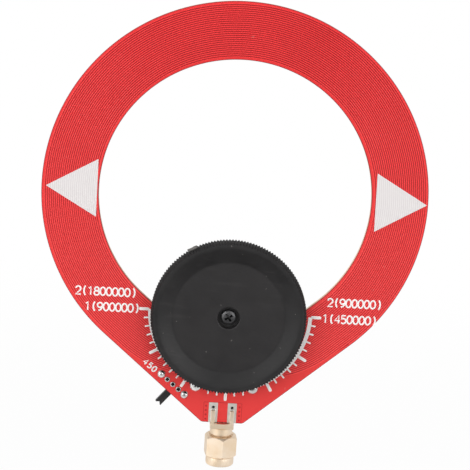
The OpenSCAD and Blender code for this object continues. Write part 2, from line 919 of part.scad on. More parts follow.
module switch_solder() {
    pin_half = norm([terminal_w, terminal_t]) / 2 + seat_fit;
    tab_half = norm([frame_wall, tab_w]) / 2 + seat_fit;
    color(tin)
        at_switch() {
            for (i = [-1 : 1])
                translate([i * switch_pitch, 0, -board_t])
                    mirror([0, 0, 1]) fillet_ring(pin_half, pin_joint_r, pin_joint_h);
            for (s = [-1, 1])
                translate([s * tab_x, 0, -board_t])
                    mirror([0, 0, 1]) fillet_ring(tab_half, tab_joint_r, tab_joint_h);
        }
}

circuit_board();
front_winding();
back_winding();
connector_pads();
connector_body();
connector_dielectric();
centre_contact();
connector_solder();
coupling_nut();
nut_snap_ring();
nut_gasket();
capacitor_base();
capacitor_cover();
stator_posts();
stator_plates();
insulating_films();
rotor_plates();
tuning_shaft();
capacitor_lugs();
lug_solder();
capacitor_screws();
trimmer_left();
trimmer_right();
tuning_knob();
knob_screw();
switch_frame();
switch_base();
switch_terminals();
switch_lever();
switch_wiper();
switch_solder();
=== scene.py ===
"""Looks of a tunable loop antenna on a printed board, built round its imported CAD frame.

Lengths are in millimetres while a piece is modelled. Setting it down shrinks it to metres in the
CAD frame: X to the right, Y to the back, Z up, with the mouth of the plug at the origin.
"""

import logging
import math
from dataclasses import dataclass
from enum import Enum
from functools import cache, partial
from typing import Callable, ClassVar, Sequence

import bpy
from mathutils import Matrix, Vector


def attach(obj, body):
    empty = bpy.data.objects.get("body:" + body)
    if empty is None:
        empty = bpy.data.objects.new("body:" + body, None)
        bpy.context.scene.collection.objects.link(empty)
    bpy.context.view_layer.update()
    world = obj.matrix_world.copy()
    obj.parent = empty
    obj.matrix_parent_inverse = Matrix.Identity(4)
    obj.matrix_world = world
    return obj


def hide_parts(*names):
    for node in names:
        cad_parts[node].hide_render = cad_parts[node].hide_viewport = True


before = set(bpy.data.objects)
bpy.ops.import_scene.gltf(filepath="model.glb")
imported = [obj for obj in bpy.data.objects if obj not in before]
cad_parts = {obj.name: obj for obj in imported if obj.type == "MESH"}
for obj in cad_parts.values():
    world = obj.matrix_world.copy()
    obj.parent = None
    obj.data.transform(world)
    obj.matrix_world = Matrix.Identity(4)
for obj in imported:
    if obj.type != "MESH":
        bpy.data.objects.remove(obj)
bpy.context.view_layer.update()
LOG = logging.getLogger("loop_antenna")
MM = 0.001
FULL_TURN = 2 * math.pi
SIDES = (-1, 1)
ORIGIN = (0.0, 0.0, 0.0)
IN_PLACE = Matrix.Identity(4).freeze()
WHITE = (1.0, 1.0, 1.0, 1.0)

Point = tuple[float, float]
Point3 = tuple[float, float, float]
Colour = tuple[int, int, int]
Thing = bpy.types.Object
Node = bpy.types.Node
NodeTree = bpy.types.NodeTree
Socket = bpy.types.NodeSocket
Sockets = bpy.types.bpy_prop_collection
Feeds = dict[str | int, object]


def linear(colour: Colour) -> tuple[float, float, float, float]:
    """Turn a screen colour into scene colour.

    Args:
        colour: Red, green and blue from 0 to 255.

    Returns:
        Linear red, green, blue and an alpha of 1.
    """
    parts = [c / 255 for c in colour]
    red, green, blue = [c / 12.92 if c <= 0.04045 else ((c + 0.055) / 1.055) ** 2.4 for c in parts]
    return red, green, blue, 1.0


def arc(
    centre: Point, radius: float, start: float, stop: float, steps: int, squash: float = 1.0
) -> list[Point]:
    """Points along an arc.

    Args:
        centre: Centre of the arc.
        radius: Radius across.
        start: First angle in radians.
        stop: Last angle in radians.
        steps: Number of stretches between points.
        squash: Height of the arc as a share of its width.

    Returns:
        The points, both ends included.
    """
    x, y = centre
    angles = [start + (stop - start) * i / steps for i in range(steps + 1)]
    return [(x + radius * math.cos(a), y + radius * squash * math.sin(a)) for a in angles]


def ring(centre: Point, radius: float, steps: int = 32) -> list[Point]:
    """Points round a full circle, without repeating the first."""
    return arc(centre, radius, 0.0, FULL_TURN, steps)[:-1]


def rectangle(left: float, low: float, right: float, high: float) -> list[Point]:
    """Corners of a rectangle, from its lower left one."""
    return [(left, low), (right, low), (right, high), (left, high)]


def rounded_loop(corners: Sequence[Point], radius: float, steps: int = 4) -> list[Point]:
    """Round the corners of a closed outline.

    Args:
        corners: The sharp corners in order.
        radius: Distance from each corner at which its bend starts.
        steps: Stretches in each bend.

    Returns:
        The outline with a bend in place of each corner.
    """
    points: list[Point] = []
    count = len(corners)
    for i, corner in enumerate(corners):
        here = Vector(corner)
        before = (Vector(corners[i - 1]) - here).normalized() * radius
        after = (Vector(corners[(i + 1) % count]) - here).normalized() * radius
        for k in range(steps + 1):
            t = k / steps
            bend = here + before * (1 - t) ** 2 + after * t**2
            points.append((bend.x, bend.y))
    return points


@dataclass(frozen=True)
class Layout:
    """Places that several sub-assemblies share, as the CAD has them."""

    board_front: float = -2.03
    board_back: float = -0.43
    board_t: float = 1.6
    loop_z: float = 73.0
    loop_r: float = 50.0
    foot_z: float = 12.0
    foot_w: float = 11.0
    foot_drop: float = 61.0
    shaft_z: float = 41.7
    screw_x: float = 7.0
    lug_x: float = 7.5
    lug_drop: float = 20.2
    mid_lug_drop: float = 18.6
    leg_x: float = 2.5
    via_z: float = 16.2
    via_r: float = 0.46
    switch_along: float = 12.57
    switch_inset: float = 2.34

    @property
    def edge_angle(self) -> float:
        """Angle below the horizontal at which the lower edges touch the loop.

        Returns:
            The angle in radians.
        """
        corner = math.atan2(self.foot_w / 2, self.foot_drop)
        reach = math.hypot(self.foot_w / 2, self.foot_drop)
        return math.pi / 2 - corner - math.acos(self.loop_r / reach)

    @property
    def legs(self) -> Point:
        """Places across of the plug's legs."""
        return -self.leg_x, self.leg_x

    @property
    def shaft_drop(self) -> float:
        """Distance from the loop's centre down to the shaft."""
        return self.loop_z - self.shaft_z

    def front(self, x: float, z: float, lift: float = 0.0) -> Matrix:
        """Frame on the board's front face, or lifted off it, with its Z pointing forward."""
        turn = Matrix.Rotation(math.pi / 2, 4, "X")
        return Matrix.Translation((x, self.board_front - lift, z)) @ turn

    def back(self, x: float, z: float, lift: float = 0.0) -> Matrix:
        """Frame on the board's back face, or lifted off it, with its Z pointing back."""
        turn = Matrix.Rotation(math.pi, 4, "Z") @ Matrix.Rotation(math.pi / 2, 4, "X")
        return Matrix.Translation((x, self.board_back + lift, z)) @ turn

    def switch(self) -> Matrix:
        """Frame of the band switch: X down along the edge, Y out past it, Z back.

        Returns:
            The frame's matrix.
        """
        sine, cosine = math.sin(self.edge_angle), math.cos(self.edge_angle)
        place = Vector((-self.foot_w / 2, 0.0, self.loop_z - self.foot_drop))
        place += Vector((-sine, 0.0, cosine)) * self.switch_along
        place += Vector((cosine, 0.0, sine)) * self.switch_inset
        place.y = self.board_back
        axes = Matrix(((sine, -cosine, 0.0), (0.0, 0.0, 1.0), (-cosine, -sine, 0.0)))
        return Matrix.Translation(place) @ axes.to_4x4()


LAYOUT = Layout()


class Bench:
    """Modelling moves, made with Blender's own operators on one piece at a time."""

    merge_within: ClassVar[float] = 0.0005

    @staticmethod
    def clear() -> None:
        """Leave edit mode and deselect everything."""
        if bpy.context.mode != "OBJECT":
            bpy.ops.object.mode_set(mode="OBJECT")
        bpy.ops.object.select_all(action="DESELECT")

    @staticmethod
    def hold(*things: Thing) -> None:
        """Select these things alone and make the last one active.

        Args:
            things: The things to select.
        """
        Bench.clear()
        for thing in things:
            thing.select_set(True)
        bpy.context.view_layer.objects.active = things[-1]

    @staticmethod
    def fresh(name: str) -> Thing:
        """Name the object that an operator has just added.

        Args:
            name: Name of the object and of its mesh.

        Returns:
            The object.
        """
        thing = bpy.context.object
        thing.name = thing.data.name = name
        return thing

    @staticmethod
    def link(name: str, data: bpy.types.ID) -> Thing:
        """Put an object in the scene.

        Args:
            name: Name of the object.
            data: Its curve, lamp or camera.

        Returns:
            The object.
        """
        thing = bpy.data.objects.new(name, data)
        bpy.context.scene.collection.objects.link(thing)
        return thing

    @staticmethod
    def edit() -> None:
        """Enter edit mode with everything selected."""
        bpy.ops.object.mode_set(mode="EDIT")
        bpy.ops.mesh.select_all(action="SELECT")

    @staticmethod
    def pick(thing: Thing, test: Callable[[Vector], bool]) -> None:
        """Enter edit mode with only some corners selected.

        Args:
            thing: The mesh to edit.
            test: Says for a corner's place whether it is selected.
        """
        Bench.hold(thing)
        bpy.ops.object.mode_set(mode="EDIT")
        bpy.ops.mesh.select_mode(type="VERT")
        bpy.ops.mesh.select_all(action="DESELECT")
        bpy.ops.object.mode_set(mode="OBJECT")
        for corner in thing.data.vertices:
            corner.select = test(corner.co)
        bpy.ops.object.mode_set(mode="EDIT")

    @staticmethod
    def weld() -> None:
        """Merge the corners that meet, turn every face outwards and leave edit mode."""
        bpy.ops.mesh.select_all(action="SELECT")
        bpy.ops.mesh.remove_doubles(threshold=Bench.merge_within)
        bpy.ops.mesh.normals_make_consistent(inside=False)
        bpy.ops.object.mode_set(mode="OBJECT")

    @staticmethod
    def modify(thing: Thing, kind: str, **settings: object) -> None:
        """Add a modifier, set it up and apply it.

        Args:
            thing: The mesh that is changed.
            kind: Blender's name for the kind of modifier.
            settings: The modifier's settings.
        """
        Bench.hold(thing)
        step = thing.modifiers.new(kind, kind)
        for key, value in settings.items():
            setattr(step, key, value)
        bpy.ops.object.modifier_apply(modifier=step.name)

    @staticmethod
    def lathe(name: str, profile: Sequence[Point], steps: int, closed: bool = True) -> Thing:
        """Spin a profile round Z.

        Args:
            name: Name of the piece.
            profile: Radius and height of each point.
            steps: Number of steps round.
            closed: True if the profile's last point joins its first.

        Returns:
            The turned mesh.
        """
        Bench.clear()
        bpy.ops.mesh.primitive_plane_add(size=1.0)
        thing = Bench.fresh(name)
        bpy.ops.object.mode_set(mode="EDIT")
        bpy.ops.mesh.select_mode(type="VERT")
        bpy.ops.mesh.select_all(action="SELECT")
        bpy.ops.mesh.merge(type="CENTER")
        path = [*profile, profile[0]] if closed else profile
        bpy.ops.transform.translate(value=(path[0][0], 0.0, path[0][1]))
        for (r0, z0), (r1, z1) in zip(path, path[1:]):
            move = {"value": (r1 - r0, 0.0, z1 - z0)}
            bpy.ops.mesh.extrude_region_move(TRANSFORM_OT_translate=move)
        bpy.ops.mesh.select_all(action="SELECT")
        bpy.ops.mesh.remove_doubles(threshold=Bench.merge_within)
        bpy.ops.mesh.spin(steps=steps, angle=FULL_TURN, center=ORIGIN, axis=(0, 0, 1))
        Bench.weld()
        return thing

    @staticmethod
    def draw(curve: bpy.types.Curve, points: Sequence[Point3], closed: bool) -> None:
        """Add a line of straight stretches to a curve.

        Args:
            curve: The curve that it is added to.
            points: The line's points.
            closed: True if the last point joins the first.
        """
        spline = curve.splines.new("POLY")
        spline.points.add(len(points) - 1)
        spline.points.foreach_set("co", [c for point in points for c in (*point, 1.0)])
        spline.use_cyclic_u = closed

    @staticmethod
    def cast(name: str, curve: bpy.types.Curve) -> Thing:
        """Make a mesh of a curve.

        Args:
            name: Name of the piece.
            curve: The curve, which is used up.

        Returns:
            The mesh.
        """
        Bench.hold(Bench.link(name, curve))
        bpy.ops.object.convert(target="MESH")
        return Bench.fresh(name)

    @staticmethod
    def plate(name: str, loops: Sequence[Sequence[Point]], height: float, bevel: float) -> Thing:
        """Fill flat outlines and give them a thickness with eased edges, from Z 0 upwards.

        Args:
            name: Name of the piece.
            loops: The outline, then the outlines of its holes.
            height: Thickness of the plate.
            bevel: Width of the eased edge.

        Returns:
            The plate as a mesh.
        """
        curve = bpy.data.curves.new(name, "CURVE")
        curve.dimensions = "2D"
        curve.fill_mode = "BOTH"
        curve.extrude = height / 2 - bevel
        curve.bevel_depth = bevel
        curve.bevel_resolution = 1
        curve.offset = -bevel
        for i, loop in enumerate(loops):
            area = sum(a[0] * b[1] - b[0] * a[1] for a, b in zip(loop, [*loop[1:], loop[0]]))
            points = loop if (area > 0) == (i == 0) else reversed(loop)
            Bench.draw(curve, [(x, y, 0.0) for x, y in points], True)
        thing = Bench.cast(name, curve)
        Bench.edit()
        bpy.ops.transform.translate(value=(0.0, 0.0, height / 2))
        Bench.weld()
        return thing

    @staticmethod
    def strand(name: str, lines: Sequence[Sequence[Point3]], radius: float, sides: int = 1) -> Thing:
        """Run a round strand along lines of points.

        Args:
            name: Name of the piece.
            lines: The points of each line.
            radius: Radius of the strand.
            sides: Blender's bevel resolution, where 1 gives six sides.

        Returns:
            The strand as a mesh.
        """
        curve = bpy.data.curves.new(name, "CURVE")
        curve.dimensions = "3D"
        curve.bevel_depth = radius
        curve.bevel_resolution = sides
        curve.use_fill_caps = True
        for line in lines:
            Bench.draw(curve, line, False)
        return Bench.cast(name, curve)

    @staticmethod
    def block(name: str, low: Point3, high: Point3, bevel: float = 0.0) -> Thing:
        """Add a block between two corners and ease its edges.

        Args:
            name: Name of the piece.
            low: Lowest corner.
            high: Highest corner.
            bevel: Width of the eased edges.

        Returns:
            The block as a mesh.
        """
        Bench.clear()
        bpy.ops.mesh.primitive_cube_add(size=1.0)
        thing = Bench.fresh(name)
        thing.dimensions = [b - a for a, b in zip(low, high)]
        thing.location = [(a + b) / 2 for a, b in zip(low, high)]
        bpy.ops.object.transform_apply(location=True, rotation=True, scale=True)
        if bevel:
            Bench.edit()
            bpy.ops.mesh.bevel(offset=bevel, segments=3, affect="EDGES")
            bpy.ops.object.mode_set(mode="OBJECT")
        return thing

    @staticmethod
    def taper(thing: Thing, test: Callable[[Vector], bool], share: Point3, centre: Point3 = ORIGIN) -> None:
        """Draw some corners of a mesh in towards a centre.

        Args:
            thing: The mesh.
            test: Says for a corner's place whether it is drawn in.
            share: What is left of its distance along X, Y and Z.
            centre: The place that it is drawn to.
        """
        Bench.pick(thing, test)
        bpy.ops.transform.resize(value=share, center_override=centre)
        bpy.ops.object.mode_set(mode="OBJECT")

    @staticmethod
    def roughen(offset: float, seed: int) -> None:
        """Shake the selected corners and leave edit mode."""
        bpy.ops.transform.vertex_random(offset=offset, uniform=0.0, seed=seed)
        bpy.ops.object.mode_set(mode="OBJECT")

    @staticmethod
    def combine(target: Thing, tool: Thing, operation: str = "DIFFERENCE") -> None:
        """Cut, keep or add one solid with another, which is used up."""
        Bench.modify(target, "BOOLEAN", operation=operation, solver="EXACT", object=tool)
        bpy.data.objects.remove(tool)

    @staticmethod
    def ease(thing: Thing, width: float, angle: float, segments: int = 2) -> None:
        """Bevel the edges of a solid that are sharper than an angle in degrees."""
        shape = {"width": width, "segments": segments, "use_clamp_overlap": True}
        Bench.modify(thing, "BEVEL", limit_method="ANGLE", angle_limit=math.radians(angle), **shape)

    @staticmethod
    def flow(thing: Thing) -> Thing:
        """Round a mesh over, as molten solder is, and give it back."""
        Bench.modify(thing, "SUBSURF", levels=1, render_levels=1)
        return thing

    @staticmethod
    def join(name: str, *things: Thing) -> Thing:
        """Make several meshes into one piece.

        Args:
            name: Name of the joined piece.
            things: The meshes, which are used up.

        Returns:
            The joined mesh.
        """
        Bench.hold(*things)
        if len(things) > 1:
            bpy.ops.object.join()
        return Bench.fresh(name)

    @staticmethod
    def twin(thing: Thing, name: str) -> Thing:
        """Copy a piece with a mesh of its own."""
        return Bench.link(name, thing.data.copy())

    @staticmethod
    def shift(thing: Thing, place: Matrix) -> Thing:
        """Move a mesh, still in millimetres.

        Args:
            thing: The mesh.
            place: The matrix that it is moved by.

        Returns:
            The mesh.
        """
        Bench.hold(thing)
        thing.matrix_world = place
        bpy.ops.object.transform_apply(location=True, rotation=True, scale=True)
        return thing

    @staticmethod
    def set_down(thing: Thing, place: Matrix, smooth: float) -> None:
        """Put a finished mesh in its place in the CAD frame, in metres.

        Args:
            thing: The mesh, modelled in millimetres.
            place: Its place, in millimetres.
            smooth: Edges blunter than this many degrees are shaded smooth.
        """
        Bench.shift(thing, Matrix.Scale(MM, 4) @ place)
        bpy.ops.object.shade_smooth_by_angle(angle=math.radians(smooth))
        Bench.modify(thing, "WEIGHTED_NORMAL", keep_sharp=True)


class Graph:
    """Adds nodes to one tree and joins them."""

    def __init__(self, tree: NodeTree) -> None:
        """Start on an emptied tree."""
        self.tree = tree
        tree.nodes.clear()

    def add(self, kind: str, feeds: Feeds | None = None, **settings: object) -> Node:
        """Add a node.

        Args:
            kind: The node's type without its ShaderNode prefix.
            feeds: For an input's name or number, a value or the socket that feeds it.
            settings: The node's own settings.

        Returns:
            The new node.
        """
        node = self.tree.nodes.new(kind if kind.startswith("NodeGroup") else "ShaderNode" + kind)
        for key, value in settings.items():
            setattr(node, key, value)
        for key, value in (feeds or {}).items():
            if isinstance(value, Socket):
                self.tree.links.new(value, node.inputs[key])
            else:
                node.inputs[key].default_value = value
        return node

    def sum(self, operation: str, *values: object) -> Socket:
        """Work out a number from others, in order."""
        return self.add("Math", dict(enumerate(values)), operation=operation).outputs[0]

    def vector(self, operation: str, *values: object) -> Node:
        """Work out a vector or a length from vectors, in order."""
        return self.add("VectorMath", dict(enumerate(values)), operation=operation)

    def axes(self, place: Socket) -> Sockets:
        """Split a place into X, Y and Z."""
        return self.add("SeparateXYZ", {0: place}).outputs

    def mapped(self, place: Socket, **feeds: object) -> Socket:
        """Move, turn or stretch a place."""
        return self.add("Mapping", {"Vector": place, **feeds}).outputs[0]

    def noise(self, place: Socket, scale: object, detail: float = 2.0) -> Sockets:
        """Uneven values over a surface."""
        return self.add("TexNoise", {"Vector": place, "Scale": scale, "Detail": detail}).outputs

    def blend(self, share: object, first: object, second: object) -> Socket:
        """Mix two colours, with a share of the second."""
        return self.add("Mix", {0: share, 6: first, 7: second}, data_type="RGBA").outputs[2]

    def toward(self, share: object, first: object, second: object) -> Socket:
        """Mix two numbers, with a share of the second."""
        return self.add("Mix", {0: share, 2: first, 3: second}, data_type="FLOAT").outputs[0]

    def choose(self, share: Socket, first: Node, second: Node) -> Node:
        """Mix two shaders, with a share of the second."""
        return self.add("MixShader", {0: share, 1: first.outputs[0], 2: second.outputs[0]})

    def span(
        self, value: Socket, low: float, high: float, to_low: float = 0.0, to_high: float = 1.0
    ) -> Socket:
        """Map one range of a value onto another, held at its ends."""
        return self.add("MapRange", {0: value, 1: low, 2: high, 3: to_low, 4: to_high}).outputs[0]

    def effect(self, group: NodeTree, **feeds: object) -> Socket:
        """Place a shared effect, fed by the names of its inputs."""
        return self.add("Group", dict(feeds), node_tree=group).outputs[0]


class Effects:
    """Node groups of surface effects that several finishes share, each built once."""

    @staticmethod
    def start(name: str, result: str, inputs: dict[str, str], kind: str = "Float") -> tuple[Graph, Sockets]:
        """Begin a group.

        Args:
            name: The group's name.
            result: The name of its output.
            inputs: For each input its kind of socket.
            kind: The output's kind of socket.

        Returns:
            The group's graph and the sockets of its inputs.
        """
        tree = bpy.data.node_groups.new(name, "ShaderNodeTree")
        for key, sort in inputs.items():
            tree.interface.new_socket(key, in_out="INPUT", socket_type="NodeSocket" + sort)
        tree.interface.new_socket(result, in_out="OUTPUT", socket_type="NodeSocket" + kind)
        graph = Graph(tree)
        return graph, graph.add("NodeGroupInput").outputs

    @staticmethod
    @cache
    def tone() -> NodeTree:
        """Slow drift between two colours over a surface.

        Returns:
            The group.
        """
        inputs = {"Vector": "Vector", "Scale": "Float", "Low": "Color", "High": "Color"}
        graph, given = Effects.start("slow_tone", "Color", inputs, "Color")
        share = graph.span(graph.noise(given["Vector"], given["Scale"], 4.0)["Fac"], 0.32, 0.68)
        graph.add("NodeGroupOutput", {"Color": graph.blend(share, given["Low"], given["High"])})
        return graph.tree

    @staticmethod
    @cache
    def grain() -> NodeTree:
        """Fine uneven skin of a moulded, coated or cast surface.

        Returns:
            The group.
        """
        graph, given = Effects.start("fine_grain", "Height", {"Vector": "Vector", "Scale": "Float"})
        fine = graph.noise(given["Vector"], given["Scale"], 3.0)["Fac"]
        wider = graph.sum("MULTIPLY", given["Scale"], 0.17)
        broad = graph.noise(given["Vector"], wider, 3.0)["Fac"]
        height = graph.sum("MULTIPLY_ADD", broad, 0.6, graph.sum("MULTIPLY", fine, 0.4))
        graph.add("NodeGroupOutput", {"Height": height})
        return graph.tree

    @staticmethod
    @cache
    def dust() -> NodeTree:
        """Sparse ragged specks, as dust or pits leave on a dark surface.

        Returns:
            The group.
        """
        inputs = {"Vector": "Vector", "Scale": "Float", "Reach": "Float"}
        graph, given = Effects.start("dust_specks", "Mask", inputs)
        shake = graph.noise(given["Vector"], graph.sum("MULTIPLY", given["Scale"], 2.5))["Color"]
        push = graph.add("VectorMath", {0: shake, "Scale": 0.0009}, operation="SCALE").outputs[0]
        ragged = graph.vector("ADD", given["Vector"], push).outputs[0]
        cells = graph.add("TexVoronoi", {"Vector": ragged, "Scale": given["Scale"]}).outputs
        lot = graph.add("SeparateColor", {0: cells["Color"]}).outputs
        size = graph.sum("MULTIPLY", graph.sum("POWER", lot[0], 5.0), given["Reach"])
        soft = graph.span(graph.sum("SUBTRACT", size, cells["Distance"]), 0.0, 0.06)
        graph.add("NodeGroupOutput", {"Mask": graph.sum("MULTIPLY", soft, lot[1])})
        return graph.tree

    @staticmethod
    @cache
    def scuffs() -> NodeTree:
        """Thin rubbed streaks, gathered in patches.

        Returns:
            The group.
        """
        inputs = {"Vector": "Vector", "Scale": "Float", "Amount": "Float"}
        graph, given = Effects.start("rubbed_streaks", "Mask", inputs)
        drawn = graph.mapped(given["Vector"], Rotation=(0.3, 0.7, 0.5), Scale=(1, 9, 7))
        streaks = graph.span(graph.noise(drawn, given["Scale"])["Fac"], 0.6, 0.74)
        wider = graph.sum("MULTIPLY", given["Scale"], 0.5)
        patches = graph.span(graph.noise(given["Vector"], wider)["Fac"], 0.45, 0.7)
        mask = graph.sum("MULTIPLY", graph.sum("MULTIPLY", streaks, patches), given["Amount"])
        graph.add("NodeGroupOutput", {"Mask": mask})
        return graph.tree


class Surface(Graph):
    """A material's graph, with the object coordinates that its patterns follow."""

    def __init__(self, name: str) -> None:
        """Start a material.

        Args:
            name: The material's name.
        """
        self.material = bpy.data.materials.new(name)
        self.material.use_nodes = True
        super().__init__(self.material.node_tree)
        self.place = self.add("TexCoord").outputs["Object"]

    def close(self, shader: Node) -> bpy.types.Material:
        """End the material with its shader and give it back."""
        self.add("OutputMaterial", {"Surface": shader.outputs[0]})
        return self.material

    def drift(self, low: Colour, high: Colour, scale: float) -> Socket:
        """Colour that drifts slowly between two."""
        ends = {"Low": linear(low), "High": linear(high)}
        return self.effect(Effects.tone(), Vector=self.place, Scale=scale, **ends)

    def grain(self, scale: float, stretch: Point3 | None = None) -> Socket:
        """Height of the fine grain, which may be stretched along an axis."""
        place = self.mapped(self.place, Scale=stretch) if stretch else self.place
        return self.effect(Effects.grain(), Vector=place, Scale=scale)

    def specks(self, scale: float, reach: float) -> Socket:
        """Mask of the specks."""
        return self.effect(Effects.dust(), Vector=self.place, Scale=scale, Reach=reach)

    def rubs(self, scale: float, amount: float) -> Socket:
        """Mask of the rubbed streaks."""
        return self.effect(Effects.scuffs(), Vector=self.place, Scale=scale, Amount=amount)

    def follow(self, grain: Socket, smooth: float, rough: float) -> Socket:
        """Roughness that follows the grain between two values."""
        return self.span(grain, 0.3, 0.7, smooth, rough)

    def relief(self, height: Socket, depth: float, strength: float) -> Socket:
        """Normal bumped by a height, to a depth in millimetres."""
        feeds = {"Strength": strength, "Distance": depth * MM, "Height": height}
        return self.add("Bump", feeds).outputs[0]


class Marks(Enum):
    """Tool marks on a metal, as the stretch of their pattern along X, Y and Z."""

    TURNED = (1.0, 1.0, 26.0)
    ROLLED = (4.0, 4.0, 0.6)
    FLOWED = (1.0, 1.0, 1.0)


@dataclass(frozen=True)
class Finish:
    """A surface finish and the record's slot that it belongs to."""

    name: str
    slot: str

    @cache
    def material(self) -> bpy.types.Material:
        """The finish as a material, built at its first use."""
        surface = Surface(self.name)
        return surface.close(surface.add("BsdfPrincipled", self.skin(surface)))

    def skin(self, surface: Surface) -> Feeds:
        """Build what feeds the finish's shader."""
        raise NotImplementedError


@dataclass(frozen=True)
class MaskFinish(Finish):
    """Coloured solder mask over copper or bare laminate, lighter towards the foot as painted light."""

    light: Colour
    dark: Colour
    # Colour at the foot: painted light, for the brighter light on the lower board.
    foot: Colour
    roughness: float = 0.4
    uneven: ClassVar[float] = 0.06
    speck: ClassVar[Colour] = (250, 190, 180)
    speck_share: ClassVar[float] = 0.35
    light_foot_low: ClassVar[float] = 35.0
    light_foot_high: ClassVar[float] = 115.0
    light_foot_share: ClassVar[float] = 0.85
    gloss: ClassVar[float] = 0.3

    def skin(self, surface: Surface) -> Feeds:
        """Build the mask: a slow drift of tone, painted light towards the foot and a few specks under a
        faintly uneven gloss.

        Args:
            surface: The material's graph.

        Returns:
            What feeds the shader.
        """
        tone = surface.drift(self.dark, self.light, scale=40.0)
        height = surface.axes(surface.place)[2]
        # Painted light: the mask grows lighter towards the foot, where the lower board is lit more.
        painted_light_low = surface.span(height, self.light_foot_low * MM, self.light_foot_high * MM, self.light_foot_share, 0.0)
        tone = surface.blend(painted_light_low, tone, linear(self.foot))
        grain = surface.grain(scale=2400.0)
        specks = surface.sum("MULTIPLY", surface.specks(scale=420.0, reach=0.16), self.speck_share)
        return {
            "Base Color": surface.blend(specks, tone, linear(self.speck)),
            "Roughness": surface.follow(grain, self.roughness - self.uneven, self.roughness + self.uneven),
            "Normal": surface.relief(grain, depth=0.012, strength=0.5),
            "Specular IOR Level": self.gloss,
        }


@dataclass(frozen=True)
class LaminateFinish(Finish):
    """Sawn edge of glass cloth laminate."""

    pale: Colour
    deep: Colour
    stretch: ClassVar[Point3] = (0.25, 5.0, 0.25)

    def skin(self, surface: Surface) -> Feeds:
        """Build the edge: layers of cloth across the thickness, broken along their length.

        Args:
            surface: The material's graph.

        Returns:
            What feeds the shader.
        """
        cloth = surface.grain(scale=1500.0, stretch=self.stretch)
        share = surface.span(cloth, 0.35, 0.65)
        return {
            "Base Color": surface.blend(share, linear(self.pale), linear(self.deep)),
            "Roughness": surface.follow(cloth, 0.5, 0.75),
            "Normal": surface.relief(cloth, depth=0.03, strength=0.6),
        }


@dataclass(frozen=True)
class InkFinish(Finish):
    """White print, whose bump sinks a little between the etched lines under it; there its colour is
    darkened as painted shade.
    """

    light: Colour
    # Colour between the etched lines: painted shade.
    ring_shade: Colour
    # Colour of the figures and dial low on the board: painted light that lifts the knob's shadow off them.
    lit_figures: Colour
    pitch: float
    lit_figures_low: ClassVar[float] = 50.0
    lit_figures_high: ClassVar[float] = 54.0
    line_share: ClassVar[float] = 0.75

    def skin(self, surface: Surface) -> Feeds:
        """Build the print: rings of painted shade round the loop's centre, and painted light that brightens
        the figures and dial.

        Args:
            surface: The material's graph.

        Returns:
            What feeds the shader.
        """
        centred = surface.mapped(surface.place, Location=(0.0, 0.0, -LAYOUT.loop_z * MM))
        x, _, z = surface.axes(centred)
        squares = surface.sum("MULTIPLY_ADD", x, x, surface.sum("MULTIPLY", z, z))
        turns = surface.sum("MULTIPLY", surface.sum("SQRT", squares), FULL_TURN / (self.pitch * MM))
        # Painted shade: the print darkens in rings between the etched lines.
        lines = surface.span(surface.sum("SINE", turns), -1.0, 1.0)
        grain = surface.grain(scale=3000.0)
        rest = surface.sum("MULTIPLY", grain, 1 - self.line_share)
        share = surface.sum("MULTIPLY_ADD", lines, self.line_share, rest)
        height = surface.axes(surface.place)[2]
        # Painted light: the figures and dial below the loop's middle are brightened.
        figures = surface.span(height, self.lit_figures_low * MM, self.lit_figures_high * MM, 1.0, 0.0)
        colour = surface.blend(share, linear(self.ring_shade), linear(self.light))
        return {
            "Base Color": surface.blend(figures, colour, linear(self.lit_figures)),
            "Roughness": surface.follow(grain, 0.5, 0.66),
            "Normal": surface.relief(share, depth=0.02, strength=0.5),
        }


@dataclass(frozen=True)
class MetalFinish(Finish):
    """Bare, plated or soldered metal."""

    bright: Colour
    dull: Colour
    roughness: float
    marks: Marks
    depth: float = 0.01
    scale: float = 700.0
    metallic: float = 1.0

    def skin(self, surface: Surface) -> Feeds:
        """Build the metal: tool marks in its shine and a drift of tarnish in its colour.

        Args:
            surface: The material's graph.

        Returns:
            What feeds the shader.
        """
        grain = surface.grain(scale=self.scale, stretch=self.marks.value)
        rubs = surface.rubs(scale=300.0, amount=0.6)
        shine = surface.span(grain, 0.25, 0.75, self.roughness * 0.7, self.roughness * 1.3)
        return {
            "Base Color": surface.drift(self.dull, self.bright, scale=260.0),
            "Metallic": self.metallic,
            "Roughness": surface.sum("MULTIPLY_ADD", rubs, 0.15, shine),
            "Normal": surface.relief(grain, depth=self.depth, strength=0.6),
        }


@dataclass(frozen=True)
class PlasticFinish(Finish):
    """Moulded plastic with the marks of handling."""

    base: Colour
    worn: Colour
    speck: Colour
    roughness: float
    grain_scale: float = 1600.0
    dust: float = 0.16
    wear: float = 0.5
    uneven: ClassVar[float] = 0.08
    drift_share: ClassVar[float] = 0.35

    def skin(self, surface: Surface) -> Feeds:
        """Build the plastic: a fine moulded grain, rubbed streaks and a few specks of dust.

        Args:
            surface: The material's graph.

        Returns:
            What feeds the shader.
        """
        grain = surface.grain(scale=self.grain_scale)
        drift = surface.drift(self.base, self.worn, scale=55.0)
        colour = surface.blend(self.drift_share, self.ground(surface), drift)
        colour = surface.blend(self.rubbed(surface), colour, linear(self.worn))
        return {
            "Base Color": surface.blend(self.flecked(surface), colour, linear(self.speck)),
            "Roughness": self.shine(surface, grain),
            "Normal": surface.relief(grain, depth=0.02, strength=0.5),
        }

    def ground(self, surface: Surface) -> object:
        """Colour under the marks."""
        return linear(self.base)

    def rubbed(self, surface: Surface) -> Socket:
        """Mask of the rubbed streaks."""
        return surface.rubs(scale=90.0, amount=self.wear)

    def flecked(self, surface: Surface) -> Socket:
        """Mask of the pale specks."""
        return surface.specks(scale=620.0, reach=self.dust)

    def shine(self, surface: Surface, grain: Socket) -> Socket:
        """Roughness, which follows the grain."""
        return surface.follow(grain, self.roughness - self.uneven, self.roughness + self.uneven)


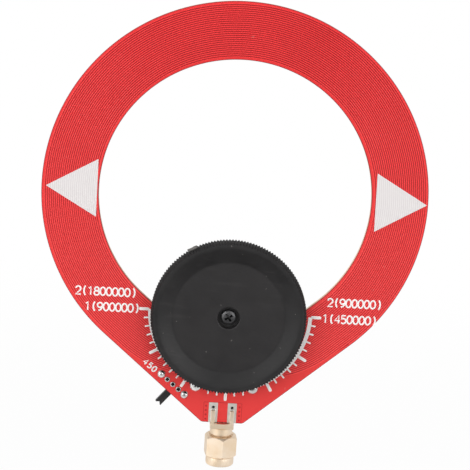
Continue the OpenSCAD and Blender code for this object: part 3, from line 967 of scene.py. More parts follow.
@dataclass(frozen=True)
class KnobFinish(PlasticFinish):
    """The knob's plastic: darker beyond its flat face as painted shade, rubbed on its sloping ring, dull on
    its ribs and torn at its gate.
    """

    # Colour of the flat face; the darker base beyond it is painted shade.
    face: ClassVar[Colour] = (37, 35, 36)
    slope_in: ClassVar[float] = 14.8
    slope_out: ClassVar[float] = 18.8
    ribs_in: ClassVar[float] = 19.3
    gate_in: ClassVar[float] = 20.34
    to_mm: ClassVar[Point3] = (1 / MM, 0.0, 1 / MM)

    def reach(self, surface: Surface) -> Socket:
        """Distance from the shaft's axis in millimetres."""
        shaft = surface.mapped(surface.place, Location=(0.0, 0.0, -LAYOUT.shaft_z), Scale=self.to_mm)
        return surface.vector("LENGTH", shaft).outputs["Value"]

    def ground(self, surface: Surface) -> object:
        """Colour under the marks: lighter on the flat face, and darker beyond it as painted shade on the
        sloping ring.
        """
        # Painted shade: outside the flat face the knob keeps its darker base colour.
        flat = surface.span(self.reach(surface), self.slope_in - 0.8, self.slope_in + 0.2, 1.0, 0.0)
        return surface.blend(flat, linear(self.base), linear(self.face))

    def rubbed(self, surface: Surface) -> Socket:
        """Mask of the streaks, with more of them on the sloping ring.

        Args:
            surface: The material's graph.

        Returns:
            The mask's socket.
        """
        reach = self.reach(surface)
        inside = surface.span(reach, self.slope_in - 0.4, self.slope_in + 0.4)
        outside = surface.span(reach, self.slope_out - 0.4, self.slope_out, 1.0, 0.0)
        fine = surface.rubs(scale=210.0, amount=self.wear)
        sloping = surface.sum("MULTIPLY", surface.sum("MULTIPLY", inside, outside), fine)
        return surface.sum("MAXIMUM", super().rubbed(surface), sloping)

    def flecked(self, surface: Surface) -> Socket:
        """Mask of the specks and of the torn gate outside the ribs."""
        torn = surface.span(self.reach(surface), self.gate_in, self.gate_in + 0.25, 0.0, 0.5)
        return surface.sum("MAXIMUM", super().flecked(surface), torn)

    def shine(self, surface: Surface, grain: Socket) -> Socket:
        """Roughness, which rises on the ribs."""
        dull = surface.span(self.reach(surface), self.ribs_in, self.ribs_in + 0.3, 0.0, 0.4)
        return surface.sum("ADD", super().shine(surface, grain), dull)


@dataclass(frozen=True)
class ClearFinish(Finish):
    """Clear or milky moulding that shows what is inside."""

    tint: Colour
    haze: Colour
    roughness: float
    weight: float
    ior: ClassVar[float] = 1.49

    def skin(self, surface: Surface) -> Feeds:
        """Build the moulding: a hazy, slightly rubbed see-through skin.

        Args:
            surface: The material's graph.

        Returns:
            What feeds the shader.
        """
        grain = surface.grain(scale=900.0)
        rubs = surface.rubs(scale=140.0, amount=0.7)
        shine = surface.follow(grain, self.roughness * 0.7, self.roughness * 1.3)
        return {
            "Base Color": surface.blend(rubs, linear(self.tint), linear(self.haze)),
            "Roughness": surface.sum("MULTIPLY_ADD", rubs, 0.2, shine),
            "Normal": surface.relief(grain, depth=0.01, strength=0.3),
            "IOR": self.ior,
            "Transmission Weight": self.weight,
        }


class Finishes:
    """Every finish on the antenna."""

    MASK = MaskFinish("red_mask", "red_board", (237, 52, 53), (227, 46, 47), (241, 68, 66))
    FIELD = MaskFinish(
        "red_mask_between_lines", "red_board", (168, 21, 27), (158, 17, 23), (200, 44, 46), 0.45
    )
    LINES = MaskFinish(
        "red_mask_over_copper", "winding", (253, 60, 62), (245, 54, 56), (254, 80, 79), 0.36
    )
    RIM = MaskFinish("red_mask_rim", "red_board", (150, 28, 44), (140, 25, 40), (152, 32, 46), 0.5)
    LAMINATE = LaminateFinish("sawn_laminate", "red_board", (232, 206, 178), (200, 150, 120))
    INK = InkFinish(
        "white_print", "white_insulator", (241, 237, 236), (222, 216, 216), (254, 250, 248), 0.52
    )
    LAND = MetalFinish(
        "tinned_land", "tinned_pad", (228, 225, 218), (206, 203, 196), 0.5, Marks.FLOWED, 0.03, 700.0, 0.4
    )
    SOLDER = MetalFinish(
        "solder_joint", "solder", (232, 232, 230), (205, 205, 203), 0.2, Marks.FLOWED, 0.05, 420.0
    )
    GOLD = MetalFinish(
        "plated_gold", "gold_plate", (252, 234, 212), (244, 219, 187), 0.42, Marks.TURNED, 0.006
    )
    WETTED = MetalFinish(
        "wetted_solder", "solder", (226, 222, 214), (205, 201, 193), 0.45, Marks.FLOWED, 0.03, 500.0, 0.6
    )
    BRASS = MetalFinish(
        "drawn_brass", "brass_part", (226, 190, 112), (196, 156, 84), 0.3, Marks.TURNED, 0.008
    )
    PLATE = MetalFinish(
        "rolled_plate", "plate_metal", (214, 212, 206), (186, 184, 178), 0.34, Marks.ROLLED
    )
    STEEL = MetalFinish(
        "plated_steel", "switch_steel", (212, 214, 216), (178, 180, 184), 0.28, Marks.ROLLED, 0.012
    )
    SCREW = MetalFinish(
        "zinc_screw", "steel_screw", (206, 208, 212), (168, 170, 176), 0.3, Marks.TURNED
    )
    BLACKED = MetalFinish(
        "blacked_screw", "black_screw", (114, 113, 114), (88, 88, 90), 0.42, Marks.TURNED
    )
    # Painted shade: the switch's pins and the vias' stoppers are coloured dark for the shade in the joints'
    # craters and in the vias.
    SHADED_PIN = MetalFinish("dull_pin", "switch_steel", (92, 88, 88), (52, 50, 52), 0.4, Marks.ROLLED)
    KNOB = KnobFinish(
        "black_knob", "knob_plastic", (27, 26, 27), (50, 48, 48), (150, 146, 142), 0.45, wear=0.7
    )
    LEVER = PlasticFinish(
        "black_lever", "lever_plastic", (24, 24, 25), (46, 45, 45), (110, 108, 106), 0.5
    )
    INSULATOR = PlasticFinish(
        "turned_insulator", "white_insulator", (238, 236, 230), (222, 219, 210), (190, 186, 178),
        0.55, 900.0, 0.1, 0.3,
    )
    GASKET = PlasticFinish(
        "red_gasket", "gasket", (176, 60, 44), (196, 84, 66), (214, 150, 138), 0.6, 1200.0, 0.12
    )
    PHENOLIC = PlasticFinish(
        "switch_phenolic", "switch_board", (176, 122, 62), (206, 156, 92), (226, 190, 140), 0.55
    )
    CASE = ClearFinish("clear_case", "case_plastic", (246, 247, 246), (228, 230, 228), 0.05, 0.9)
    BASE = ClearFinish("milky_base", "case_plastic", (240, 240, 234), (226, 226, 220), 0.35, 0.35)
    FILM = ClearFinish("insulating_film", "film", (244, 248, 250), (224, 232, 238), 0.16, 0.9)


class Assembly:
    """What every sub-assembly does with its finished pieces and its CAD nodes."""

    body: ClassVar[str] = "antenna"
    dressed: ClassVar[dict[str, Finish]] = {}

    def build(self) -> None:
        """Make the sub-assembly's pieces."""
        raise NotImplementedError

    def hand_over(
        self, thing: Thing, finish: Finish, *nodes: str,
        place: Matrix = IN_PLACE, smooth: float = 32.0, body: str = "",
    ) -> None:
        """Set a piece down, dress it and tie it to the frame.

        Args:
            thing: The piece, modelled in millimetres.
            finish: Its finish.
            nodes: The CAD nodes that it stands for.
            place: Its place in the CAD frame, in millimetres.
            smooth: Edges blunter than this many degrees are shaded smooth.
            body: The body that it rides on, if not the assembly's own.
        """
        Bench.set_down(thing, place, smooth)
        if not thing.data.materials:
            thing.data.materials.append(finish.material())
        rider = body or self.body
        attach(thing, rider)
        if nodes:
            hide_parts(*nodes)
        LOG.info("%s rides on %s", thing.name, rider)

    def dress_nodes(self) -> None:
        """Give the CAD nodes that stay in view their finishes."""
        for name, finish in self.dressed.items():
            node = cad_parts[name]
            if not node.material_slots:
                node.data.materials.append(finish.material())
            for slot in node.material_slots:
                slot.material = finish.material()
            LOG.info("%s is dressed in %s", name, finish.name)


@dataclass
class LoopBoard(Assembly):
    """The printed board with its two etched windings."""

    hole_r: float = 35.25
    tab_r: float = 16.5
    edge_ease: float = 0.16
    face_tilt: float = 0.98
    edge_tilt: float = 0.2
    corner_ease: float = 0.5
    shaft_hole_r: float = 3.5
    screw_hole_r: float = 1.4
    lug_hole_r: float = 0.75
    switch_holes: tuple[Point, ...] = (
        (-4.15, 0.65), (-2.0, 0.45), (0.0, 0.45), (2.0, 0.45), (4.15, 0.65),
    )
    turns: int = 27
    pitch: float = 0.515
    first_inset: float = 0.45
    line_w: float = 0.3
    line_h: float = 0.055
    bend_x: float = 8.51
    bend_z: float = -19.4
    bend_reach: float = 29.71
    field_h: float = 0.012
    ground_w: float = 10.2
    ground_low: float = 0.15
    ground_high: float = 5.6
    ground_gap: float = 0.12
    ground_vias: int = 4
    ground_via_x: float = 4.45
    ground_via_low: float = 0.9
    ground_via_step: float = 1.2

    def build(self) -> None:
        """Make the sheet, the windings on both faces and the copper round the plug."""
        self.make_sheet()
        self.make_face("front", LAYOUT.front(0.0, LAYOUT.loop_z))
        self.make_face("back", LAYOUT.back(0.0, LAYOUT.loop_z))
        self.make_ground()

    def outline(self) -> list[Point]:
        """The board's outside edge.

        Returns:
            The edge's points, from the loop's centre.
        """
        edge, x, z = LAYOUT.edge_angle, LAYOUT.foot_w / 2, -LAYOUT.foot_drop
        touch = LAYOUT.loop_r * math.cos(edge), -LAYOUT.loop_r * math.sin(edge)
        wedge = rounded_loop([(x, z), (-x, z), (-touch[0], touch[1]), touch], self.corner_ease)
        left, right = wedge[5:10], wedge[:5]
        loop = arc((0.0, 0.0), LAYOUT.loop_r, -edge, math.pi + edge, 260)
        return [*loop, *reversed(left), *reversed(right)]

    def opening(self) -> list[Point]:
        """The edge of the loop's open middle, which runs round the capacitor's tab.

        Returns:
            The edge's points, from the loop's centre.
        """
        edge = LAYOUT.edge_angle
        loop = arc((0.0, 0.0), self.hole_r, -edge, math.pi + edge, 220)
        shaft = Vector((0.0, -LAYOUT.shaft_drop))
        normal = Vector((math.cos(edge), -math.sin(edge)))
        away = normal.dot(shaft) - self.hole_r
        half = math.sqrt(self.tab_r**2 - away**2)
        upward = Vector((-normal.y, normal.x))
        meet = upward * half - normal * away
        start = math.atan2(meet.y, meet.x)
        return [*loop, *arc(shaft, self.tab_r, math.pi - start, start, 90)]

    def make_sheet(self) -> None:
        """Cut the bare sheet, with its mask on the faces and laminate on the edges."""
        shaft = -LAYOUT.shaft_drop
        holes = [ring((0.0, shaft), self.shaft_hole_r)]
        holes += [ring((s * LAYOUT.screw_x, shaft), self.screw_hole_r) for s in SIDES]
        holes += [ring((s * LAYOUT.lug_x, shaft - LAYOUT.lug_drop), self.lug_hole_r) for s in SIDES]
        holes.append(ring((0.0, shaft - LAYOUT.mid_lug_drop), self.lug_hole_r))
        via_z = LAYOUT.via_z - LAYOUT.loop_z
        holes += [ring((x, via_z), LAYOUT.via_r, 20) for x in LAYOUT.legs]
        for along, radius in self.switch_holes:
            place = LAYOUT.switch() @ Vector((along, 0.0, 0.0))
            holes.append(ring((place.x, place.z - LAYOUT.loop_z), radius, 20))
        loops = [self.outline(), self.opening(), *holes]
        sheet = Bench.plate("board_sheet", loops, LAYOUT.board_t, self.edge_ease)
        for finish in (Finishes.MASK, Finishes.RIM, Finishes.LAMINATE):
            sheet.data.materials.append(finish.material())
        for face in sheet.data.polygons:
            tilt = abs(face.normal.z)
            face.material_index = (tilt < self.face_tilt) + (tilt < self.edge_tilt)
        place = LAYOUT.front(0.0, LAYOUT.loop_z, -LAYOUT.board_t)
        self.hand_over(sheet, Finishes.MASK, "circuit_board", place=place, smooth=40.0)

    def turn_points(self, inset: float) -> list[Point]:
        """Points once round the winding, which creeps in by one pitch.

        Args:
            inset: Distance in from the board's edge at the start.

        Returns:
            The points, from the lower right round the loop and back under the shaft.
        """
        edge = LAYOUT.edge_angle
        spans = [
            ((0.0, 0.0), LAYOUT.loop_r, -edge, math.pi + edge, 88),
            ((-self.bend_x, self.bend_z), self.bend_reach, math.pi + edge, 1.5 * math.pi, 13),
            ((self.bend_x, self.bend_z), self.bend_reach, 1.5 * math.pi, FULL_TURN - edge, 13),
        ]
        total = sum(span[4] + 1 for span in spans)
        points: list[Point] = []
        for (x, z), reach, start, stop, steps in spans:
            for i in range(steps + 1):
                angle = start + (stop - start) * i / steps
                radius = reach - (inset + len(points) / total * self.pitch)
                points.append((x + radius * math.cos(angle), z + radius * math.sin(angle)))
        return points

    def make_face(self, side: str, place: Matrix) -> None:
        """Etch one face: a darker field between the turns, and the turns in relief.

        Args:
            side: Name of the face, front or back.
            place: The face's frame.
        """
        turns = [self.turn_points(self.first_inset + i * self.pitch) for i in range(self.turns)]
        field = Bench.plate(f"{side}_field", [turns[0], turns[-1]], self.field_h, self.field_h / 4)
        self.hand_over(field, Finishes.FIELD, place=place)
        path = [(x, y, 0.0) for turn in turns for x, y in turn]
        lines = Bench.strand(f"{side}_lines", [path], self.line_w / 2)
        Bench.shift(lines, Matrix.Diagonal((1.0, 1.0, 2 * self.line_h / self.line_w, 1.0)))
        self.hand_over(lines, Finishes.LINES, f"{side}_winding", place=place, smooth=70.0)

    def make_ground(self) -> None:
        """Draw the gap round the ground copper at the plug, and its rows of covered vias."""
        half, gap = self.ground_w / 2, self.ground_gap
        low, high = self.ground_low, self.ground_high
        outer = rounded_loop(rectangle(-half, low, half, high), 0.25)
        inner = rounded_loop(rectangle(gap - half, low + gap, half - gap, high - gap), 0.2)
        pieces = [Bench.plate("ground_gap", [outer, inner], height=0.02, bevel=0.005)]
        profile = [(0.0, 0.03), (0.1, 0.045), (0.2, 0.04), (0.28, 0.0)]
        for side in SIDES:
            for row in range(self.ground_vias):
                place = side * self.ground_via_x, self.ground_via_low + self.ground_via_step * row, 0.0
                dome = Bench.lathe("ground_via", profile, 16, closed=False)
                pieces.append(Bench.shift(dome, Matrix.Translation(place)))
        ground = Bench.join("ground_field", *pieces)
        self.hand_over(ground, Finishes.FIELD, place=LAYOUT.front(0.0, LAYOUT.foot_z))


@dataclass(frozen=True)
class Label:
    """One line of plain figures on the front: its place from the loop's centre, and its pen."""

    text: str
    x: float
    z: float
    turn: float = 0.0
    cap_h: float = 2.15
    step: float = 1.6
    stroke: float = 0.41


@dataclass
class FrontPrint(Assembly):
    """White marks printed on the front: two arrowheads, the dial and its plain numbers."""

    lift: float = 0.05
    ink_h: float = 0.022
    ink_ease: float = 0.006
    arrows: tuple[tuple[Point, ...], ...] = (
        ((-48.84, 0.31), (-35.68, -7.23), (-35.62, 7.86)),
        ((49.65, 0.47), (36.27, 8.1), (36.47, -7.21)),
    )
    dial: Point = (0.5, -30.97)
    band_in: float = 20.5
    band_out: float = 21.5
    stroke_in: float = 21.2
    major_out: float = 23.9
    major_w: float = 0.8
    minor_out: float = 22.7
    minor_w: float = 0.44
    majors: int = 7
    minors: int = 4
    pad_clear: float = 2.2
    labels: tuple[Label, ...] = (
        Label("2(1800000)", -40.1, -27.95),
        Label("1(900000)", -37.5, -32.05),
        Label("2(900000)", 25.8, -27.75),
        Label("1(450000)", 24.8, -32.15),
        Label("450", -21.77, -45.55, -0.681, 1.5, 1.49, 0.36),
    )

    def build(self) -> None:
        """Print every mark as one piece."""
        arrows = [rounded_loop(arrow, radius=0.12, steps=2) for arrow in self.arrows]
        marks = [Bench.plate("arrow", [arrow], self.ink_h, self.ink_ease) for arrow in arrows]
        marks += self.dial_marks()
        marks += [self.write(label) for label in self.labels]
        sheet = Bench.join("front_print", *marks)
        place = LAYOUT.front(0.0, LAYOUT.loop_z, self.lift)
        self.hand_over(sheet, Finishes.INK, place=place, smooth=50.0)

    def dial_marks(self) -> list[Thing]:
        """The dial's band and its long and short strokes, which leave room for the lugs' pads.

        Returns:
            The marks as flat meshes.
        """
        outside = arc(self.dial, self.band_out, math.pi, FULL_TURN, 90)
        inside = arc(self.dial, self.band_in, FULL_TURN, math.pi, 90)
        marks = [Bench.plate("dial_band", [[*outside, *inside]], self.ink_h, self.ink_ease)]
        pad = (LAYOUT.lug_x, -LAYOUT.shaft_drop - LAYOUT.lug_drop)
        count = (self.majors - 1) * (self.minors + 1)
        for i in range(count + 1):
            angle = math.pi + math.pi * i / count
            x, z = arc(self.dial, self.band_out, angle, angle, 1)[0]
            if math.dist((abs(x), z), pad) < self.pad_clear:
                continue
            long = i % (self.minors + 1) == 0
            reach, width = (self.major_out, self.major_w) if long else (self.minor_out, self.minor_w)
            corners = rectangle(self.stroke_in, -width / 2, reach, width / 2)
            bar = rounded_loop(corners, width * 0.45, steps=3)
            mark = Bench.plate("dial_stroke", [bar], self.ink_h * 1.05, self.ink_ease)
            turn = Matrix.Translation((*self.dial, 0.0)) @ Matrix.Rotation(angle, 4, "Z")
            marks.append(Bench.shift(mark, turn))
        return marks

    @staticmethod
    def glyph(sign: str) -> list[list[Point]]:
        """Pen strokes of a sign one unit high.

        Args:
            sign: A figure or a bracket.

        Returns:
            The strokes as lines of points.
        """
        turn = math.pi
        bowl = arc((0.29, 0.32), 0.32, 0.72 * turn, -0.78 * turn, 14)
        neck = arc((0.3, 0.7), 0.3, 0.95 * turn, -0.2 * turn, 12)
        tail = [(0.61, 0.66), (0.56, 0.34), (0.4, 0.1), (0.14, 0.0)]
        top, bottom = (0.31, 0.75), (0.31, 0.26)
        strokes: dict[str, list[list[Point]]] = {
            "0": [arc((0.31, 0.5), 0.31, 0.0, FULL_TURN, 24, 1.6)],
            "1": [[(0.1, 0.8), (0.33, 1.0), (0.33, 0.0)]],
            "2": [[*neck, (0.02, 0.0), (0.62, 0.0)]],
            "4": [[(0.46, 0.0), (0.46, 1.0), (0.0, 0.32), (0.62, 0.32)]],
            "5": [[(0.56, 1.0), (0.1, 1.0), (0.06, 0.56), *bowl]],
            "8": [arc(top, 0.24, 0.0, FULL_TURN, 18), arc(bottom, 0.3, 0.0, FULL_TURN, 20, 0.88)],
            "9": [arc((0.31, 0.68), 0.3, 0.0, FULL_TURN, 20), tail],
            "(": [arc((0.75, 0.5), 0.5, 0.72 * turn, 1.28 * turn, 12, 1.5)],
            ")": [arc((-0.05, 0.5), 0.5, 0.28 * turn, -0.28 * turn, 12, 1.5)],
        }
        return strokes[sign]

    def write(self, label: Label) -> Thing:
        """Write a line of figures with a round pen.

        Args:
            label: The line.

        Returns:
            The line as a flat mesh.
        """
        size, step = label.cap_h, label.step
        lines = []
        for i, sign in enumerate(label.text):
            for stroke in self.glyph(sign):
                lines.append([(px * size + i * step, py * size, 0.0) for px, py in stroke])
        pen = Bench.strand("figures", lines, label.stroke / 2, 2)
        place = Matrix.Translation((label.x, label.z, 0.0)) @ Matrix.Rotation(label.turn, 4, "Z")
        return Bench.shift(pen, place @ Matrix.Diagonal((1.0, 1.0, 2 * self.ink_h / label.stroke, 1.0)))


@dataclass
class CoaxPlug(Assembly):
    """The gold screw-on plug at the board's foot, with its lands and solder."""

    dressed: ClassVar[dict[str, Finish]] = {
        "nut_snap_ring": Finishes.BRASS,
        "nut_gasket": Finishes.GASKET,
    }
    mating_z: float = 3.3
    shoulder_z: float = 5.1
    groove_z: float = 5.7
    neck_z: float = 8.5
    flange_z: float = 10.5
    flange_top: float = 11.95
    flange_w: float = 6.3
    bore_r: float = 2.06
    leg_w: float = 1.0
    leg_top: float = 15.5
    leg_gap: float = 0.15
    pin_r: float = 0.455
    tail_r: float = 0.38
    tail_top: float = 15.9
    nut_len: float = 8.2
    nut_af: float = 8.0
    nut_turn: float = 7.0
    collar_len: float = 2.62
    groove: float = 0.26
    collar_r: float = 3.75
    thread_r: float = 2.87
    thread_depth: float = 0.25
    thread_pitch: float = 0.7
    thread_turns: int = 6
    land_w: float = 2.4
    strip_w: float = 1.36
    land_low: float = 12.05
    land_high: float = 17.5

    def build(self) -> None:
        """Make the plug from its lands outwards."""
        self.make_lands()
        self.make_joints()
        self.make_shell()
        self.make_pin()
        self.make_nut()
        self.make_insulator()

    def land(self, width: float) -> list[Point]:
        """Outline of a land at a width."""
        corners = rectangle(-width / 2, self.land_low, width / 2, self.land_high)
        return rounded_loop(corners, radius=0.12, steps=2)

    def make_lands(self) -> None:
        """Tin the lands on both faces, line their vias and close these part way down with dark stoppers as
        painted shade in the holes.
        """
        pieces, plugs = [], []
        r, t, z = LAYOUT.via_r, LAYOUT.board_t, LAYOUT.via_z
        tube = [(r, 0.0), (r - 0.06, 0.02), (r - 0.06, t - 0.02), (r, t)]
        fit = r - 0.05
        stopper = [(fit, 0.0), (fit, 0.5), (fit * 0.8, 0.62), (fit * 0.4, 0.66), (0.0, 0.67)]
        for x in LAYOUT.legs:
            loops = [self.land(self.land_w), ring((0.0, z), r, 20)]
            front = Bench.plate("land", loops, height=0.06, bevel=0.02)
            back = Bench.twin(front, "land")
            pieces.append(Bench.shift(front, LAYOUT.front(x, 0.0)))
            pieces.append(Bench.shift(back, LAYOUT.back(x, 0.0)))
            pieces.append(Bench.shift(Bench.lathe("via", tube, 20), LAYOUT.front(x, z, -t)))
        centre = Bench.plate("land", [self.land(self.strip_w)], height=0.05, bevel=0.015)
        pieces.append(Bench.shift(centre, LAYOUT.back(0.0, 0.0)))
        for x in LAYOUT.legs:
            plug = Bench.lathe("via_plug", stopper, 20, closed=False)
            plugs.append(Bench.shift(plug, LAYOUT.front(x, z, -0.9)))
        # Painted shade: dark stoppers in the vias.
        self.hand_over(Bench.join("via_plugs", *plugs), Finishes.SHADED_PIN)
        self.hand_over(Bench.join("plug_lands", *pieces), Finishes.LAND, "connector_pads")

    def make_joints(self) -> None:
        """Flow solder along the legs and over the centre contact's tail."""
        low, high = (-0.85, 12.1, 0.03), (0.85, self.leg_top + 0.3, 0.22)
        pieces = []
        for x in LAYOUT.legs:
            for seed, face in ((3, LAYOUT.front), (4, LAYOUT.back)):
                pieces.append(Bench.shift(self.bead(low, high, seed), face(x, 0.0)))
        tail = self.bead((-0.6, 12.6, 0.0), (0.6, 16.5, 0.42), 8)
        pieces.append(Bench.shift(tail, LAYOUT.back(0.0, 0.0)))
        joints = Bench.join("plug_joints", *pieces)
        self.hand_over(joints, Finishes.WETTED, "connector_solder", smooth=60.0)

    @staticmethod
    def bead(low: Point3, high: Point3, seed: int) -> Thing:
        """Model a run of solder that thins towards its edges.

        Args:
            low: Lowest corner of its room.
            high: Highest corner of its room.
            seed: Number that sets its unevenness.

        Returns:
            The bead as a mesh.
        """
        bead = Bench.block("bead", low, high)
        middle = [(a + b) / 2 for a, b in zip(low, high)]
        Bench.taper(bead, lambda corner: corner.z > middle[2], (0.55, 0.86, 1.0), middle)
        Bench.edit()
        bpy.ops.mesh.subdivide(number_cuts=4)
        Bench.roughen(offset=0.035, seed=seed)
        return Bench.flow(bead)

    def make_shell(self) -> None:
        """Turn the barrel and neck, and add the flange with its four legs."""
        mouth, shoulder, groove, neck = self.mating_z, self.shoulder_z, self.groove_z, self.neck_z
        r, seat = self.bore_r, self.flange_z
        profile = [
            (r, mouth), (2.2, mouth), (2.3, mouth + 0.1), (2.3, shoulder), (2.6, shoulder),
            (2.65, shoulder + 0.05), (2.65, groove), (2.25, groove), (2.25, groove + 0.6),
            (2.65, groove + 0.6), (2.65, neck), (2.9, neck), (3.0, neck + 0.1), (3.0, seat - 0.16),
            (2.9, seat - 0.1), (2.9, seat + 0.1), (r, seat + 0.1),
        ]
        barrel = Bench.lathe("barrel", profile, 96)
        half = self.flange_w / 2
        flange = Bench.block("flange", (-half, -half, seat), (half, half, self.flange_top), bevel=0.1)
        Bench.combine(flange, Bench.lathe("bore", rectangle(0.0, 9.0, r, 13.0), 64))
        front, back = LAYOUT.board_front - self.leg_gap, LAYOUT.board_back + self.leg_gap
        leg_t = half + front
        for x in LAYOUT.legs:
            left, right = x - self.leg_w / 2, x + self.leg_w / 2
            for near, far in ((-half, front), (back, back + leg_t)):
                low, high = (left, near + 0.02, self.flange_top - 0.4), (right, far, self.leg_top)
                Bench.combine(flange, Bench.block("leg", low, high, bevel=0.1), "UNION")
        self.hand_over(Bench.join("plug_shell", barrel, flange), Finishes.GOLD, "connector_body")

    def make_pin(self) -> None:
        """Turn the centre contact, from its rounded tip to the tail on the board."""
        mouth, top, end = self.mating_z, self.flange_top, self.tail_top
        tip, r, tail = mouth - 2.0, self.pin_r, self.tail_r
        profile = [
            (0.0, tip), (r * 0.45, tip), (r * 0.8, tip + 0.08), (r, tip + 0.25), (r, mouth),
            (0.6, mouth), (0.635, mouth + 0.04), (0.635, top), (tail, top), (tail, end - 0.08),
            (tail - 0.08, end), (0.0, end),
        ]
        pin = Bench.lathe("plug_pin", profile, 40, closed=False)
        self.hand_over(pin, Finishes.GOLD, "centre_contact")

    def make_insulator(self) -> None:
        """Turn the white insulator, which stops a little short of the flange's top."""
        low, high = self.mating_z, self.flange_top - 0.8
        profile = [
            (0.64, low), (1.94, low), (2.04, low + 0.1), (2.04, high - 0.1), (1.94, high),
            (0.74, high), (0.64, high - 0.1),
        ]
        insulator = Bench.lathe("plug_insulator", profile, 64)
        self.hand_over(insulator, Finishes.INSULATOR, "connector_dielectric")

    def make_nut(self) -> None:
        """Shape the coupling nut: chamfered hexagon, round collar and threaded bore."""
        across = self.nut_af / 2
        corner = across / math.cos(math.pi / 6)
        low, high = self.collar_len, self.nut_len
        Bench.clear()
        middle = (0.0, 0.0, low + (high - low) / 2)
        bpy.ops.mesh.primitive_cylinder_add(vertices=6, radius=corner, depth=high - low, location=middle)
        nut = Bench.fresh("plug_nut")
        bpy.ops.object.transform_apply(location=True, rotation=True, scale=True)
        Bench.shift(nut, Matrix.Rotation(math.radians(self.nut_turn), 4, "Z"))
        slope = (corner - across) * 0.95
        barrel = [
            (0.0, low - 0.1), (across - 0.06, low - 0.1), (across + 0.04, low),
            (corner + 0.06, low + slope * 0.75), (corner + 0.06, high - slope * 1.25),
            (across - 0.1, high), (across - 0.2, high + 0.1), (0.0, high + 0.1),
        ]
        Bench.combine(nut, Bench.lathe("barrel", barrel, 120, closed=False), "INTERSECT")
        r, neck = self.collar_r, self.collar_r - self.groove
        collar = [
            (0.0, 0.0), (r - 0.5, 0.0), (r - 0.22, 0.08), (r - 0.07, 0.25), (r, 0.55), (r, low - 0.24),
            (r - 0.04, low - 0.2), (neck, low - 0.2), (neck, low + 0.2), (0.0, low + 0.2),
        ]
        Bench.combine(nut, Bench.lathe("collar", collar, 120, closed=False), "UNION")
        root = self.thread_r + self.thread_depth
        bore = [
            (0.0, -1.0), (root + 0.35, -1.0), (root + 0.12, 0.0), (root, 0.25), (root, 5.2), (3.1, 5.2),
            (3.1, 6.6), (2.69, 6.6), (2.69, 7.7), (3.2, 8.1), (3.25, 9.0), (0.0, 9.0),
        ]
        Bench.combine(nut, Bench.lathe("bore", bore, 96, closed=False))
        Bench.ease(nut, width=0.05, angle=28.0)
        nut = Bench.join("plug_nut", self.thread(root), nut)
        self.hand_over(nut, Finishes.GOLD, "coupling_nut", smooth=24.0, body="nut")

    def thread(self, root: float) -> Thing:
        """Wind the nut's inner thread.

        Args:
            root: Radius at the bottom of the thread.

        Returns:
            The thread's ridge as a mesh.
        """
        Bench.clear()
        bpy.ops.mesh.primitive_circle_add(vertices=3, radius=0.22, fill_type="NOTHING")
        ridge = Bench.fresh("thread")
        Bench.edit()
        for axis in "XY":
            bpy.ops.transform.rotate(value=math.pi / 2, orient_axis=axis, center_override=ORIGIN)
        bpy.ops.transform.translate(value=(root - 0.06, 0.0, 0.75))
        winding = {"axis": "Z", "angle": FULL_TURN, "screw_offset": self.thread_pitch}
        counts = {"iterations": self.thread_turns, "steps": 64, "render_steps": 64}
        Bench.modify(ridge, "SCREW", **winding, **counts)
        return ridge


